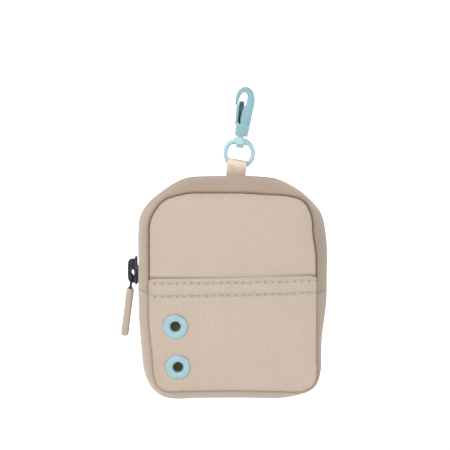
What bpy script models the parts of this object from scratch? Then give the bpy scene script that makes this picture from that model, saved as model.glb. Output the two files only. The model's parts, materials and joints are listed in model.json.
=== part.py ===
"""A small zip pouch on a swivel snap hook.

Metres, +Z up, -Y is the front. The origin is the top of the hook's throat, where the loop that carries the
pouch bears. The hook leans a little to the right, and the pouch hangs below the hook's ring with its centre
of mass under the ring, so it is tipped back a few degrees.
"""

import math

import bmesh
import bpy
from mathutils import Matrix, Vector

MM = 0.001
GAP = 0.3 * MM

# The hook, in its own leaning frame: x to the right of its axis, z up from the throat
LEAN = math.radians(4.95)
HOOK_HALF_THICKNESS = 1.45 * MM
BLOCK_HALF_THICKNESS = 2.3 * MM
BLOCK_LOW = -22.25 * MM
BLOCK_TOP = -16.3 * MM
GATE_TOP = -5.3 * MM
GATE_AXIS = Vector((-2.0 * MM, 0.0, -17.4 * MM))
RIVET_AXIS = Vector((-1.9 * MM, 0.0, -20.2 * MM))
PIN_RADIUS = 0.45 * MM
TONGUE_HALF_THICKNESS = 0.7 * MM
RING_RADIUS = 7.0 * MM
WIRE_RADIUS = 1.0 * MM
RING_CENTRE_Z = -30.7 * MM
HUB_RADIUS = 2.5 * MM
HUB_TOP = -22.9 * MM
HUB_LOW = -26.6 * MM
POST_RADIUS = 1.45 * MM
POST_TOP = -19.9 * MM

# The hanger loop turns on the ring's lowest stretch
LOOP_Z = -36.4 * MM
TUNNEL_RADIUS = 2.6 * MM
WEBBING = 0.9 * MM
WEBBING_WIDTH = 9.6 * MM
LOOP_FOOT = -4.9 * MM

# The pouch, in its own frame: origin at the hanger loop's axis, z up the pouch, y from front to back
POUCH_TIP = math.radians(6.6)
CENTRE_X = -2.8 * MM
CENTRE_Y = -6.7 * MM
HALF_WIDTH = 42.0 * MM
TOP_Z = -10.3 * MM
BOTTOM_Z = -111.3 * MM
HALF_DEPTH = 18.0 * MM
BULGE = 5.2 * MM
CROWN = 1.5 * MM
TOP_CORNER_X = 24.0 * MM
TOP_CORNER_Z = 19.0 * MM
BOTTOM_CORNER = 12.5 * MM
FABRIC = 1.2 * MM
LINING = 0.5 * MM
HEM_TOP = -52.9 * MM
HINGE_Z = -63.4 * MM
HINGE_Y = -20.0 * MM

# The zip runs along the gusset, a little behind its middle. Distances across it count from the pouch's middle
ZIP_Y = 2.5 * MM
ZIP_OPENING = 3.2 * MM
TEETH_INNER = 0.75 * MM
TEETH_OUTER = 2.65 * MM
TEETH_PROUD = 0.6 * MM
TEETH_THICKNESS = 1.8 * MM
TAPE_EDGE = 0.9 * MM
TAPE_WIDTH = 6.6 * MM
TAPE = 0.6 * MM
CHAIN_END_Z = -61.2 * MM
STOP_HEIGHT = 1.6 * MM

# The slider stands at the lower left end of the zip
SLIDER_LOW = -59.5 * MM
SLIDER_HIGH = -45.7 * MM
SLIDER_HALF_WIDTH = 4.0 * MM
PLATE = 1.2 * MM
PULL_Z = -54.9 * MM
PULL_OUT = 3.15 * MM
PULL_TILT = math.radians(7.3)
LINK_RADIUS = 0.6 * MM
LINK_HALF_WIDTH = 2.4 * MM
LINK_LENGTH = 9.0 * MM
TAB_START = 6.9 * MM
TAB_LENGTH = 24.6 * MM
TAB_HALF_WIDTH = 4.4 * MM
TAB_HALF_THICKNESS = 2.0 * MM

# Eyelets in the lower front panel: (x from the pouch's middle, z)
EYELETS = {"upper": (-28.4 * MM, -77.7 * MM), "lower": (-27.1 * MM, -98.3 * MM)}
EYELET_RADIUS = 6.15 * MM
EYELET_HOLE = 2.5 * MM
BARREL_RADIUS = 3.1 * MM

BINDING_RADIUS = 0.8 * MM
BINDING_INSET = 2.3 * MM
BINDING_DEPTH = 14.2 * MM

SIDE_STEPS = 3
CORNER_STEPS = 6
TOP_STEPS = 4
TURN_STEPS = 24

ARC_RADIUS = (HALF_DEPTH**2 + BULGE**2) / (2 * BULGE)
CREST_X = CENTRE_X - HALF_WIDTH - BULGE
HALF_TURN = math.pi


# Scene, materials and frames


def clear_scene():
    for obj in list(bpy.data.objects):
        bpy.data.objects.remove(obj, do_unlink=True)


def new_collection(name):
    made = bpy.data.collections.new(name)
    bpy.context.scene.collection.children.link(made)
    return made


def new_material(name, colour, roughness, metallic=0.0):
    made = bpy.data.materials.new(name)
    made.use_nodes = True
    shader = made.node_tree.nodes["Principled BSDF"]
    shader.inputs["Base Color"].default_value = (*colour, 1.0)
    shader.inputs["Roughness"].default_value = roughness
    shader.inputs["Metallic"].default_value = metallic
    return made


def new_axis(name, matrix):
    """An empty on a joint's axis, which the moving pieces hang from."""
    axis = bpy.data.objects.new(name, None)
    axis.empty_display_size = 5 * MM
    axis.matrix_world = matrix
    pouch_parts.objects.link(axis)
    return axis


def attach(obj, axis, material):
    """Puts the object's origin on its axis, keeps its shape in place and gives it its material."""
    matrix = axis.matrix_world
    obj.data.transform(matrix.inverted() @ obj.matrix_world)
    obj.parent = axis
    obj.matrix_parent_inverse = Matrix.Identity(4)
    obj.matrix_basis = Matrix.Identity(4)
    obj.data.materials.clear()
    obj.data.materials.append(material)
    return obj


# Building blocks


def mesh_object(name, mesh_or_bmesh, matrix, collection=None):
    """An object in the given frame, from a mesh or a bmesh."""
    mesh = mesh_or_bmesh
    if isinstance(mesh_or_bmesh, bmesh.types.BMesh):
        mesh = bpy.data.meshes.new(name)
        mesh_or_bmesh.to_mesh(mesh)
        mesh_or_bmesh.free()
    obj = bpy.data.objects.new(name, mesh)
    (collection or pouch_parts).objects.link(obj)
    obj.matrix_world = matrix
    return obj


def solid_from_curve(curve, name, matrix):
    """Turns a curve into a closed mesh object and removes the curve."""
    holder = bpy.data.objects.new(name, curve)
    pouch_parts.objects.link(holder)
    bpy.context.view_layer.update()
    graph = bpy.context.evaluated_depsgraph_get()
    mesh = bpy.data.meshes.new_from_object(holder.evaluated_get(graph))
    bpy.data.objects.remove(holder)
    bpy.data.curves.remove(curve)
    welded = bmesh.new()
    welded.from_mesh(mesh)
    bmesh.ops.remove_doubles(welded, verts=welded.verts, dist=MM / 1000)
    bmesh.ops.recalc_face_normals(welded, faces=welded.faces)
    bpy.data.meshes.remove(mesh)
    return mesh_object(name, welded, matrix)


def outline_solid(name, outlines, half_thickness, matrix):
    """A flat outline in the frame's X-Z plane, with holes where outlines are nested, thickened along Y."""
    curve = bpy.data.curves.new(name, "CURVE")
    curve.dimensions = "2D"
    curve.fill_mode = "BOTH"
    curve.extrude = half_thickness
    for outline in outlines:
        spline = curve.splines.new("POLY")
        spline.points.add(len(outline) - 1)
        for point, (x, z) in zip(spline.points, outline):
            point.co = (x, z, 0.0, 1.0)
        spline.use_cyclic_u = True
    return solid_from_curve(curve, name, matrix @ Matrix.Rotation(HALF_TURN / 2, 4, "X"))


def wire_solid(name, points, radius, matrix, closed=False, resolution=2):
    curve = bpy.data.curves.new(name, "CURVE")
    curve.dimensions = "3D"
    curve.bevel_depth = radius
    curve.bevel_resolution = resolution
    curve.use_fill_caps = not closed
    spline = curve.splines.new("POLY")
    spline.points.add(len(points) - 1)
    for point, place in zip(spline.points, points):
        point.co = (*place, 1.0)
    spline.use_cyclic_u = closed
    return solid_from_curve(curve, name, matrix)


def box_solid(name, low, high, matrix, collection=None):
    made = bmesh.new()
    bmesh.ops.create_cube(made, size=1.0)
    low = Vector(low)
    high = Vector(high)
    size = high - low
    bmesh.ops.scale(made, vec=size, verts=made.verts)
    bmesh.ops.translate(made, vec=(low + high) / 2, verts=made.verts)
    return mesh_object(name, made, matrix, collection)


def turned_solid(name, profile, matrix, steps=TURN_STEPS):
    """A closed profile of (radius, height) points, running down its outer side, turned round the frame's Z axis."""
    made = bmesh.new()
    points = [made.verts.new((radius, 0.0, height)) for radius, height in profile]
    ends = zip(points, points[1:] + points[:1])
    for first, second in ends:
        if first.co.x > 0 or second.co.x > 0:
            made.edges.new((first, second))
    obj = mesh_object(name, made, matrix)
    screw = obj.modifiers.new("Turn", "SCREW")
    screw.steps = steps
    screw.render_steps = steps
    screw.use_merge_vertices = True
    screw.merge_threshold = 0.0001 * MM
    return bake(obj)


def rod_solid(name, radius, low, high, matrix, steps=TURN_STEPS, collection=None):
    """A cylinder along the frame's Z axis."""
    made = bmesh.new()
    bmesh.ops.create_cone(
        made, cap_ends=True, segments=steps, radius1=radius, radius2=radius, depth=high - low
    )
    bmesh.ops.translate(made, vec=(0.0, 0.0, (low + high) / 2), verts=made.verts)
    return mesh_object(name, made, matrix, collection)


def across(matrix, x, z):
    """A frame whose Z axis runs along the given frame's Y axis, through the point (x, z)."""
    return matrix @ Matrix.Translation((x, 0.0, z)) @ Matrix.Rotation(-HALF_TURN / 2, 4, "X")


def bake(obj):
    """Replaces the mesh by the result of the object's modifiers."""
    bpy.context.view_layer.update()
    graph = bpy.context.evaluated_depsgraph_get()
    made = bpy.data.meshes.new_from_object(obj.evaluated_get(graph))
    old = obj.data
    obj.modifiers.clear()
    obj.data = made
    bpy.data.meshes.remove(old)
    return obj


def combine(obj, other, operation):
    """Joins another solid to this one or cuts it away."""
    modifier = obj.modifiers.new(operation.title(), "BOOLEAN")
    modifier.operation = operation
    modifier.object = other
    bake(obj)
    if operation == "UNION":
        bpy.data.objects.remove(other)
        return obj
    if other.name not in cutters.objects:
        pouch_parts.objects.unlink(other)
        cutters.objects.link(other)
    other.hide_render = True
    other.display_type = "WIRE"
    return obj


def round_edges(obj, width, segments=2):
    bevel = obj.modifiers.new("Bevel", "BEVEL")
    bevel.width = width
    bevel.segments = segments
    bevel.limit_method = "ANGLE"
    bevel.angle_limit = math.radians(50)
    return bake(obj)


def smooth(obj):
    obj.data.shade_smooth()
    obj.data.set_sharp_from_angle(angle=math.radians(40))
    return obj


def arc(centre, radius_x, radius_z, start, end, steps):
    """Points on an ellipse's arc, with the angles in degrees from +x towards +z."""
    angles = [math.radians(start + (end - start) * step / steps) for step in range(steps + 1)]
    return [
        (centre[0] + radius_x * math.cos(angle), centre[1] + radius_z * math.sin(angle))
        for angle in angles
    ]


# The pouch's shape


def corner(side):
    """The corner radii across and up, and the seam's height, at the top (side 1) or the bottom (side -1)."""
    if side > 0:
        return TOP_CORNER_X, TOP_CORNER_Z, TOP_Z
    return BOTTOM_CORNER, BOTTOM_CORNER, BOTTOM_Z


def arch(start_z, side):
    """Stations (x, z, outward x, outward z) along the seam: up or down the left side, across, and back."""
    radius_x, radius_z, far_z = corner(side)
    turn_z = far_z - side * radius_z
    left = []
    for step in range(SIDE_STEPS):
        left.append((-HALF_WIDTH, start_z + (turn_z - start_z) * step / SIDE_STEPS, -1.0, 0.0))
    for step in range(CORNER_STEPS + 1):
        angle = HALF_TURN / 2 * step / CORNER_STEPS
        out = Vector((-math.cos(angle) / radius_x, side * math.sin(angle) / radius_z)).normalized()
        x = -HALF_WIDTH + radius_x * (1 - math.cos(angle))
        left.append((x, turn_z + side * radius_z * math.sin(angle), out.x, out.y))
    half_top = HALF_WIDTH - radius_x
    top = [
        (-half_top + 2 * half_top * step / TOP_STEPS, far_z, 0.0, float(side))
        for step in range(1, TOP_STEPS)
    ]
    right = [(-x, z, -out_x, out_z) for x, z, out_x, out_z in reversed(left)]
    return left + top + right


def wall_point(station, depth, inward):
    """A point on the gusset: depth counts from the pouch's middle, and inward from the outer surface."""
    x, z, out_x, out_z = station
    angle = math.asin(depth / ARC_RADIUS)
    radius = ARC_RADIUS - inward
    out = radius * math.cos(angle) - (ARC_RADIUS - BULGE)
    return Vector((CENTRE_X + x + out * out_x, CENTRE_Y + radius * math.sin(angle), z + out * out_z))


def grid_solid(name, rows, thickness, flip, matrix):
    """An open sheet from rows of points, thickened away from the side that it faces."""
    made = bmesh.new()
    corners = [[made.verts.new(point) for point in row] for row in rows]
    for row, following in zip(corners, corners[1:]):
        for first in range(len(row) - 1):
            face = [row[first], row[first + 1], following[first + 1], following[first]]
            made.faces.new(face[::-1] if flip else face)
    obj = mesh_object(name, made, matrix)
    solidify = obj.modifiers.new("Thickness", "SOLIDIFY")
    solidify.thickness = thickness
    solidify.offset = -1.0
    solidify.use_even_offset = True
    return obj


def gusset_strip(name, start_z, side, depths, inward, thickness, columns):
    """A strip of the gusset between two depths, running over the top (side 1) or under the bottom (side -1)."""
    low, high = depths
    rows = [
        [
            wall_point(station, low + (high - low) * column / columns, inward)
            for column in range(columns + 1)
        ]
        for station in arch(start_z, side)
    ]
    return grid_solid(name, rows, thickness, side > 0, pouch_frame)


def half_width_at(z, inset):
    """Half the seam outline's width at this height, inset all round."""
    for side in (1, -1):
        radius_x, radius_z, far_z = corner(side)
        turn_z = far_z - side * radius_z
        past = (z - turn_z) * side
        if past > 0:
            share = min(past / (radius_z - inset), 1.0)
            return HALF_WIDTH - radius_x + (radius_x - inset) * math.sqrt(1 - share**2)
    return HALF_WIDTH - inset


def corner_levels(side, inset):
    """Heights through the rounded corners, closer together towards the seam."""
    radius_z, far_z = corner(side)[1:]
    turn_z = far_z - side * radius_z
    angles = [HALF_TURN / 2 * step / CORNER_STEPS for step in range(CORNER_STEPS + 1)]
    return [turn_z + side * (radius_z - inset) * math.sin(angle) for angle in angles]


def crowned(x, z, front):
    """How far a point of the front or back surface stands from the pouch's middle."""
    if not front:
        return HALF_DEPTH
    middle = (TOP_Z + BOTTOM_Z) / 2
    half_height = (TOP_Z - BOTTOM_Z) / 2
    across_share = 1 - (x / HALF_WIDTH) ** 2
    up_share = 1 - ((z - middle) / half_height) ** 2
    return -HALF_DEPTH - CROWN * max(across_share, 0.0) * max(up_share, 0.0)


def panel(name, levels, front, inward, inset, thickness, columns=8):
    """A front or back panel whose rows are at these heights, bottom to top."""
    rows = []
    for z in levels:
        half = half_width_at(z, inset)
        xs = [half * (2 * column / columns - 1) for column in range(columns + 1)]
        side = 1 if front else -1
        rows.append(
            [Vector((CENTRE_X + x, CENTRE_Y + crowned(x, z, front) + side * inward, z)) for x in xs]
        )
    return grid_solid(name, rows, thickness, not front, pouch_frame)


def upper_levels(low, inset):
    turn = corner_levels(1, inset)
    return [low + (turn[0] - low) * step / SIDE_STEPS for step in range(SIDE_STEPS)] + turn


def lower_levels(high, inset):
    turn = corner_levels(-1, inset)[::-1]
    return turn + [
        turn[-1] + (high - turn[-1]) * step / SIDE_STEPS for step in range(1, SIDE_STEPS + 1)
    ]


def seam_binding(name, start_z, side, front):
    """The rolled tape inside a seam between a panel and the gusset."""
    depth = CENTRE_Y + (-BINDING_DEPTH if front else BINDING_DEPTH)
    points = [
        (CENTRE_X + x - BINDING_INSET * out_x, depth, z - BINDING_INSET * out_z)
        for x, z, out_x, out_z in arch(start_z, side)
    ]
    return wire_solid(name, points, BINDING_RADIUS, pouch_frame, resolution=1)


# The hook


def make_hook_body():
    """The nose, the bow and the spine as one flat hook, on a thicker block that holds the gate and the post."""
    outer = [(-4.05, -6.8), (-4.15, -5.0), (-4.15, -3.2), (-3.75, -0.8), (-2.5, 1.35), (-0.5, 2.5)]
    outer += [(2.0, 2.35), (4.0, 0.8), (5.2, -1.9), (5.5, -4.8), (5.3, -7.2), (4.9, -9.6), (4.2, -16.2)]
    outer += [(3.75, -19.0)]
    inner = [(-0.5, -19.0), (-0.55, -16.0), (-0.3, -10.2), (0.6, -7.6), (1.6, -5.6), (1.65, -1.7)]
    inner += [(1.2, -0.45), (0.2, 0.35), (-1.4, 0.4), (-2.6, -0.3), (-3.0, -1.5), (-3.0, -6.8)]
    outline = [(x * MM, z * MM) for x, z in outer + inner]
    hook = outline_solid("hook_body", [outline], HOOK_HALF_THICKNESS, hook_frame)
    round_edges(hook, 0.45 * MM)
    block_outline = [(-3.0, -16.3), (-3.0, -21.4), (-2.2, -22.25), (3.1, -22.25), (3.5, -21.7), (4.1, -17.0)]
    block_outline += [(3.9, -16.3)]
    block_points = [(x * MM, z * MM) for x, z in block_outline]
    block = outline_solid("block", [block_points], BLOCK_HALF_THICKNESS, hook_frame)
    round_edges(block, 0.45 * MM)
    combine(hook, block, "UNION")
    reach = BLOCK_HALF_THICKNESS + MM
    for name, place in (("gate_pin_hole", GATE_AXIS), ("rivet_hole", RIVET_AXIS)):
        frame = across(hook_frame, place.x, place.z)
        combine(hook, rod_solid(name, PIN_RADIUS + GAP, -reach, reach, frame, 16), "DIFFERENCE")
    bore = rod_solid("post_bore", POST_RADIUS + GAP, BLOCK_LOW - MM, POST_TOP + GAP, hook_frame)
    combine(hook, bore, "DIFFERENCE")
    slot_half = TONGUE_HALF_THICKNESS + GAP
    slot_low = Vector((-4.0 * MM, -slot_half, -19.1 * MM))
    slot_high = Vector((-0.35 * MM, slot_half, BLOCK_TOP + MM))
    combine(hook, box_solid("gate_slot", slot_low, slot_high, hook_frame), "DIFFERENCE")
    return smooth(hook)


def make_gate():
    """A folded channel: a web outside, two cheeks that pass either side of the spine, and a pinned tongue."""
    web_outline = [(-3.45, -16.0), (-3.45, -7.4), (-2.7, -6.6), (-2.7, -5.3), (-1.6, -5.3), (-2.05, -7.4)]
    web_outline += [(-2.05, -16.0)]
    web_points = [(x * MM, z * MM) for x, z in web_outline]
    gate = outline_solid("hook_gate", [web_points], BLOCK_HALF_THICKNESS, hook_frame)
    cheek_outline = [(-3.2, -15.9), (-3.2, -7.5), (-2.5, -6.8), (-2.5, -5.35), (0.1, -5.35), (0.55, -5.9)]
    cheek_outline += [(0.5, -7.4), (-0.4, -9.6), (-1.3, -11.8), (-1.9, -12.4), (-1.9, -15.9)]
    cheek_points = [(x * MM, z * MM) for x, z in cheek_outline]
    half_cheek = 0.27 * MM
    inner_face = HOOK_HALF_THICKNESS + GAP
    for side in (1, -1):
        place = Matrix.Translation((0.0, side * (inner_face + half_cheek), 0.0))
        cheek = outline_solid("cheek", [cheek_points], half_cheek, hook_frame @ place)
        combine(gate, cheek, "UNION")
    centre = (GATE_AXIS.x, GATE_AXIS.z)
    tongue_points = arc(centre, 1.25 * MM, 1.25 * MM, 180, 360, 8)
    tongue_points += [(centre[0] + 0.9 * MM, -15.5 * MM), (centre[0] - 1.25 * MM, -15.5 * MM)]
    tongue = outline_solid("tongue", [tongue_points], TONGUE_HALF_THICKNESS, hook_frame)
    combine(gate, tongue, "UNION")
    frame = across(hook_frame, GATE_AXIS.x, GATE_AXIS.z)
    hole = rod_solid("gate_hole", PIN_RADIUS + GAP, -3 * MM, 3 * MM, frame, 16)
    return smooth(combine(gate, hole, "DIFFERENCE"))


def make_gate_spring():
    """A bent leaf between the spine and the gate's web."""
    outline = [(-0.95, -15.6), (-1.0, -13.2), (-1.75, -9.4), (-1.5, -9.3), (-0.75, -13.2), (-0.75, -15.6)]
    points = [(x * MM, z * MM) for x, z in outline]
    return outline_solid("gate_spring", [points], 0.6 * MM, hook_frame)


def make_pin(name, place):
    frame = across(hook_frame, place.x, place.z)
    return smooth(rod_solid(name, PIN_RADIUS, -BLOCK_HALF_THICKNESS, BLOCK_HALF_THICKNESS, frame, 16))


def make_post():
    """The swivel post, with a rivet head under the ring's hub."""
    head_top = HUB_LOW - GAP
    head_low = head_top - 1.2 * MM
    profile = [(0.0, POST_TOP), (POST_RADIUS, POST_TOP), (POST_RADIUS, head_top), (2.0 * MM, head_top)]
    profile += [(2.2 * MM, head_top - 0.35 * MM), (2.0 * MM, head_low + 0.2 * MM), (1.5 * MM, head_low)]
    profile += [(0.0, head_low)]
    return smooth(turned_solid("swivel_post", profile, hook_frame))


def make_ring():
    """A round wire ring with a drilled hub at its top."""
    steps = 40
    points = []
    for step in range(steps):
        angle = 2 * HALF_TURN * step / steps
        points.append((RING_RADIUS * math.sin(angle), 0.0, RING_CENTRE_Z + RING_RADIUS * math.cos(angle)))
    ring = wire_solid("swivel_ring", points, WIRE_RADIUS, hook_frame, closed=True)
    hub = rod_solid("hub", HUB_RADIUS, HUB_LOW, HUB_TOP, hook_frame)
    round_edges(hub, 0.35 * MM)
    combine(ring, hub, "UNION")
    bore = rod_solid("hub_bore", POST_RADIUS + GAP, HUB_LOW - MM, HUB_TOP + MM, hook_frame)
    return smooth(combine(ring, bore, "DIFFERENCE"))


def make_hanger_loop():
    """Webbing folded over the ring: a round tunnel above two flat legs sewn together."""
    outer_radius = TUNNEL_RADIUS + WEBBING
    outer = arc((0.0, 0.0), outer_radius, outer_radius, -35, 215, 16)
    outer += [(-WEBBING, -3.9 * MM), (-WEBBING, LOOP_FOOT), (WEBBING, LOOP_FOOT), (WEBBING, -3.9 * MM)]
    inner = arc((0.0, 0.0), TUNNEL_RADIUS, TUNNEL_RADIUS, -40, 220, 14) + [(0.0, -3.1 * MM)]
    side_on = loop_frame @ Matrix.Rotation(HALF_TURN / 2, 4, "Z")
    return smooth(outline_solid("hanger_loop", [outer, inner], WEBBING_WIDTH / 2, side_on))


# The slider and its pull


def slider_outline(half_width, low, high):
    """Seen from outside: wide shoulders at the lower end and a narrow nose at the upper end."""
    points = arc((half_width - MM, low + MM), MM, MM, -90, 0, 3)
    points += [(half_width, low + 6.5 * MM), (half_width * 0.7, high - 2.6 * MM)]
    points += [(half_width * 0.3, high), (-half_width * 0.3, high), (-half_width * 0.7, high - 2.6 * MM)]
    points += [(-half_width, low + 6.5 * MM)]
    points += arc((-half_width + MM, low + MM), MM, MM, 180, 270, 3)
    return points


def make_slider_body():
    """Two plates either side of the zip's chain, joined by a post between its rows."""
    outside = pouch_frame @ Matrix.Translation((CREST_X, CENTRE_Y + ZIP_Y, 0.0))
    outside = outside @ Matrix.Rotation(-HALF_TURN / 2, 4, "Z")
    top_out = TEETH_PROUD + GAP
    top_frame = outside @ Matrix.Translation((0.0, -top_out - PLATE / 2, 0.0))
    outline = slider_outline(SLIDER_HALF_WIDTH, SLIDER_LOW, SLIDER_HIGH)
    body = outline_solid("slider_body", [outline], PLATE / 2, top_frame)
    round_edges(body, 0.25 * MM, 1)
    under_in = 3.0 * MM
    half_under = 0.5 * MM
    under_frame = outside @ Matrix.Translation((0.0, under_in + half_under, 0.0))
    outline = slider_outline(SLIDER_HALF_WIDTH - 0.6 * MM, SLIDER_LOW + 0.6 * MM, SLIDER_HIGH - 1.2 * MM)
    under = outline_solid("under_plate", [outline], half_under, under_frame)
    post_half = 0.45 * MM
    low = (-post_half, -top_out - 0.4 * MM, SLIDER_LOW + 0.8 * MM)
    high = (post_half, under_in + 0.4 * MM, SLIDER_LOW + 4.0 * MM)
    post = box_solid("slider_post", low, high, outside)
    combine(post, under, "UNION")
    return smooth(combine(body, post, "UNION"))


def make_slider_crown():
    """The bridge that the pull's link hangs in."""
    base = 2.4
    low = SLIDER_LOW / MM + 0.5
    high = SLIDER_HIGH / MM - 1.2
    outer = [(base, high), (4.2, high - 0.3), (5.2, high - 1.8), (5.3, low + 3.4), (4.7, low + 1.0), (base, low)]
    inner = [(base, low + 1.4), (3.8, low + 2.1), (4.2, low + 3.4), (4.2, high - 2.4), (3.7, high - 1.4)]
    inner += [(base, high - 1.2)]
    outline = [(CREST_X - out * MM, z * MM) for out, z in outer + inner]
    frame = pouch_frame @ Matrix.Translation((0.0, CENTRE_Y + ZIP_Y, 0.0))
    return smooth(outline_solid("slider_crown", [outline], 1.5 * MM, frame))


def make_pull_link():
    """A closed wire link whose top bar lies under the crown."""
    turn = 1.2 * MM
    straight = LINK_HALF_WIDTH - turn
    points = [(0.0, y, z) for y, z in arc((straight, -turn), turn, turn, 90, 0, 3)]
    points += [(0.0, y, z) for y, z in arc((straight, turn - LINK_LENGTH), turn, turn, 0, -90, 3)]
    points += [(0.0, -y, z) for _, y, z in reversed(points)]
    return smooth(wire_solid("pull_link", points, LINK_RADIUS, pull_frame, closed=True, resolution=1))


def make_pull_tab():
    """A moulded tab with a mouth in its top edge that the link goes into."""
    turn = 2.6 * MM
    low = -TAB_START - TAB_LENGTH
    high = -TAB_START
    side = TAB_HALF_WIDTH
    outline = arc((side - turn, low + turn), turn, turn, -90, 0, 5)
    outline += arc((side - turn, high - turn), turn, turn, 0, 90, 5)
    outline += arc((turn - side, high - turn), turn, turn, 90, 180, 5)
    outline += arc((turn - side, low + turn), turn, turn, 180, 270, 5)
    frame = pull_frame @ Matrix.Rotation(HALF_TURN / 2, 4, "Z")
    tab = outline_solid("pull_tab", [outline], TAB_HALF_THICKNESS, frame)
    round_edges(tab, 0.8 * MM)
    mouth_half = LINK_HALF_WIDTH + LINK_RADIUS + GAP
    mouth_depth = LINK_RADIUS + 0.4 * MM
    mouth_low = (-mouth_depth, -mouth_half, -LINK_LENGTH - LINK_RADIUS - GAP)
    mouth_high = (mouth_depth, mouth_half, high + MM)
    return smooth(combine(tab, box_solid("tab_mouth", mouth_low, mouth_high, pull_frame), "DIFFERENCE"))


# Eyelets


def eyelet_frame(x, z):
    """A frame on the lower front panel whose Z axis points straight out of the fabric."""
    step = 0.5 * MM
    slope_x = (crowned(x + step, z, True) - crowned(x - step, z, True)) / (2 * step)
    slope_z = (crowned(x, z + step, True) - crowned(x, z - step, True)) / (2 * step)
    out = Vector((slope_x, -1.0, slope_z)).normalized()
    place = Vector((CENTRE_X + x, CENTRE_Y + crowned(x, z, True), z))
    return pouch_frame @ Matrix.Translation(place) @ out.to_track_quat("Z", "Y").to_matrix().to_4x4()


def make_eyelet(name, frame):
    """A rolled flange with a barrel through the panel and its lining."""
    base = GAP + 0.1 * MM
    tip = -(FABRIC + LINING + 1.3 * MM)
    outer = EYELET_RADIUS
    profile = [(EYELET_HOLE, base + 0.55 * MM), (EYELET_HOLE + 0.7 * MM, base + 1.05 * MM)]
    profile += [(outer - 1.3 * MM, base + 1.05 * MM), (outer - 0.3 * MM, base + 0.65 * MM), (outer, base)]
    profile += [(BARREL_RADIUS, base), (BARREL_RADIUS, tip), (EYELET_HOLE, tip)]
    return smooth(turned_solid(name, profile, frame))


def make_washer(name, frame):
    top = -(FABRIC + GAP + LINING + GAP + 0.1 * MM)
    inner = BARREL_RADIUS + GAP
    profile = [(inner, top), (5.6 * MM, top), (5.6 * MM, top - 0.5 * MM), (inner, top - 0.7 * MM)]
    return smooth(turned_solid(name, profile, frame))


def cut_for_eyelets(panel_object, radius):
    for name, (x, z) in EYELETS.items():
        cutter = rod_solid("hole_" + name, radius, -6 * MM, 4 * MM, eyelet_frame(x, z))
        combine(panel_object, cutter, "DIFFERENCE")
    return panel_object


# Assembly

clear_scene()
pouch_parts = new_collection("zip_pouch")
cutters = new_collection("cutters")

sand = (0.62, 0.51, 0.41)
pouch_fabric = new_material("pouch_fabric", sand, 0.85)
gusset_fabric = new_material("gusset_fabric", (0.53, 0.44, 0.36), 0.85)
lining_fabric = new_material("lining_fabric", (0.16, 0.11, 0.08), 0.9)
tape_fabric = new_material("tape_fabric", (0.45, 0.37, 0.30), 0.9)
webbing_fabric = new_material("webbing_fabric", (0.60, 0.50, 0.41), 0.9)
pale_blue = new_material("pale_blue_paint", (0.30, 0.56, 0.61), 0.4)
eyelet_blue = new_material("eyelet_blue", (0.38, 0.66, 0.72), 0.45)
dark_metal = new_material("dark_metal", (0.03, 0.03, 0.032), 0.3, 0.8)
steel = new_material("steel", (0.55, 0.56, 0.57), 0.35, 1.0)
nylon_coil = new_material("nylon_coil", (0.40, 0.33, 0.27), 0.5)
pull_rubber = new_material("pull_rubber", (0.56, 0.45, 0.36), 0.2)

hook_frame = Matrix.Rotation(LEAN, 4, "Y")
loop_place = hook_frame @ Matrix.Translation((0.0, 0.0, LOOP_Z))
loop_frame = loop_place @ Matrix.Rotation(POUCH_TIP, 4, "X")
pouch_frame = Matrix.Translation(loop_place.translation) @ Matrix.Rotation(POUCH_TIP, 4, "X")
pull_place = Matrix.Translation((CREST_X - PULL_OUT, CENTRE_Y + ZIP_Y, PULL_Z))
pull_frame = pouch_frame @ pull_place @ Matrix.Rotation(PULL_TILT, 4, "Y")

hook_axis = new_axis("hook_axis", hook_frame)
gate_axis = new_axis("gate_axis", hook_frame @ Matrix.Translation(GATE_AXIS))
swivel_axis = new_axis("swivel_axis", hook_frame @ Matrix.Translation((0.0, 0.0, RING_CENTRE_Z)))
pouch_axis = new_axis("pouch_axis", pouch_frame)
flap_axis = new_axis("flap_axis", pouch_frame @ Matrix.Translation((0.0, CENTRE_Y + HINGE_Y, HINGE_Z)))
slider_axis = new_axis(
    "slider_axis", pouch_frame @ Matrix.Translation((CREST_X, CENTRE_Y + ZIP_Y, SLIDER_LOW))
)
pull_axis = new_axis("pull_axis", pull_frame)

# The hook and its ring
attach(make_hook_body(), hook_axis, pale_blue)
attach(make_pin("gate_pin", GATE_AXIS), hook_axis, steel)
attach(make_pin("spring_rivet", RIVET_AXIS), hook_axis, steel)
attach(make_gate_spring(), hook_axis, steel)
attach(make_post(), hook_axis, pale_blue)
attach(make_gate(), gate_axis, pale_blue)
attach(make_ring(), swivel_axis, pale_blue)

# The part of the pouch that hangs from the ring
seam_depth = HALF_DEPTH - FABRIC - 2 * GAP
strip_front = ZIP_Y - ZIP_OPENING
strip_back = ZIP_Y + ZIP_OPENING
lining_depth = 15.2 * MM
lining_inward = FABRIC + GAP
below_hinge = HINGE_Z - GAP / 2
above_hinge = HINGE_Z + GAP / 2
gusset_half = (-seam_depth, seam_depth)

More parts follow.
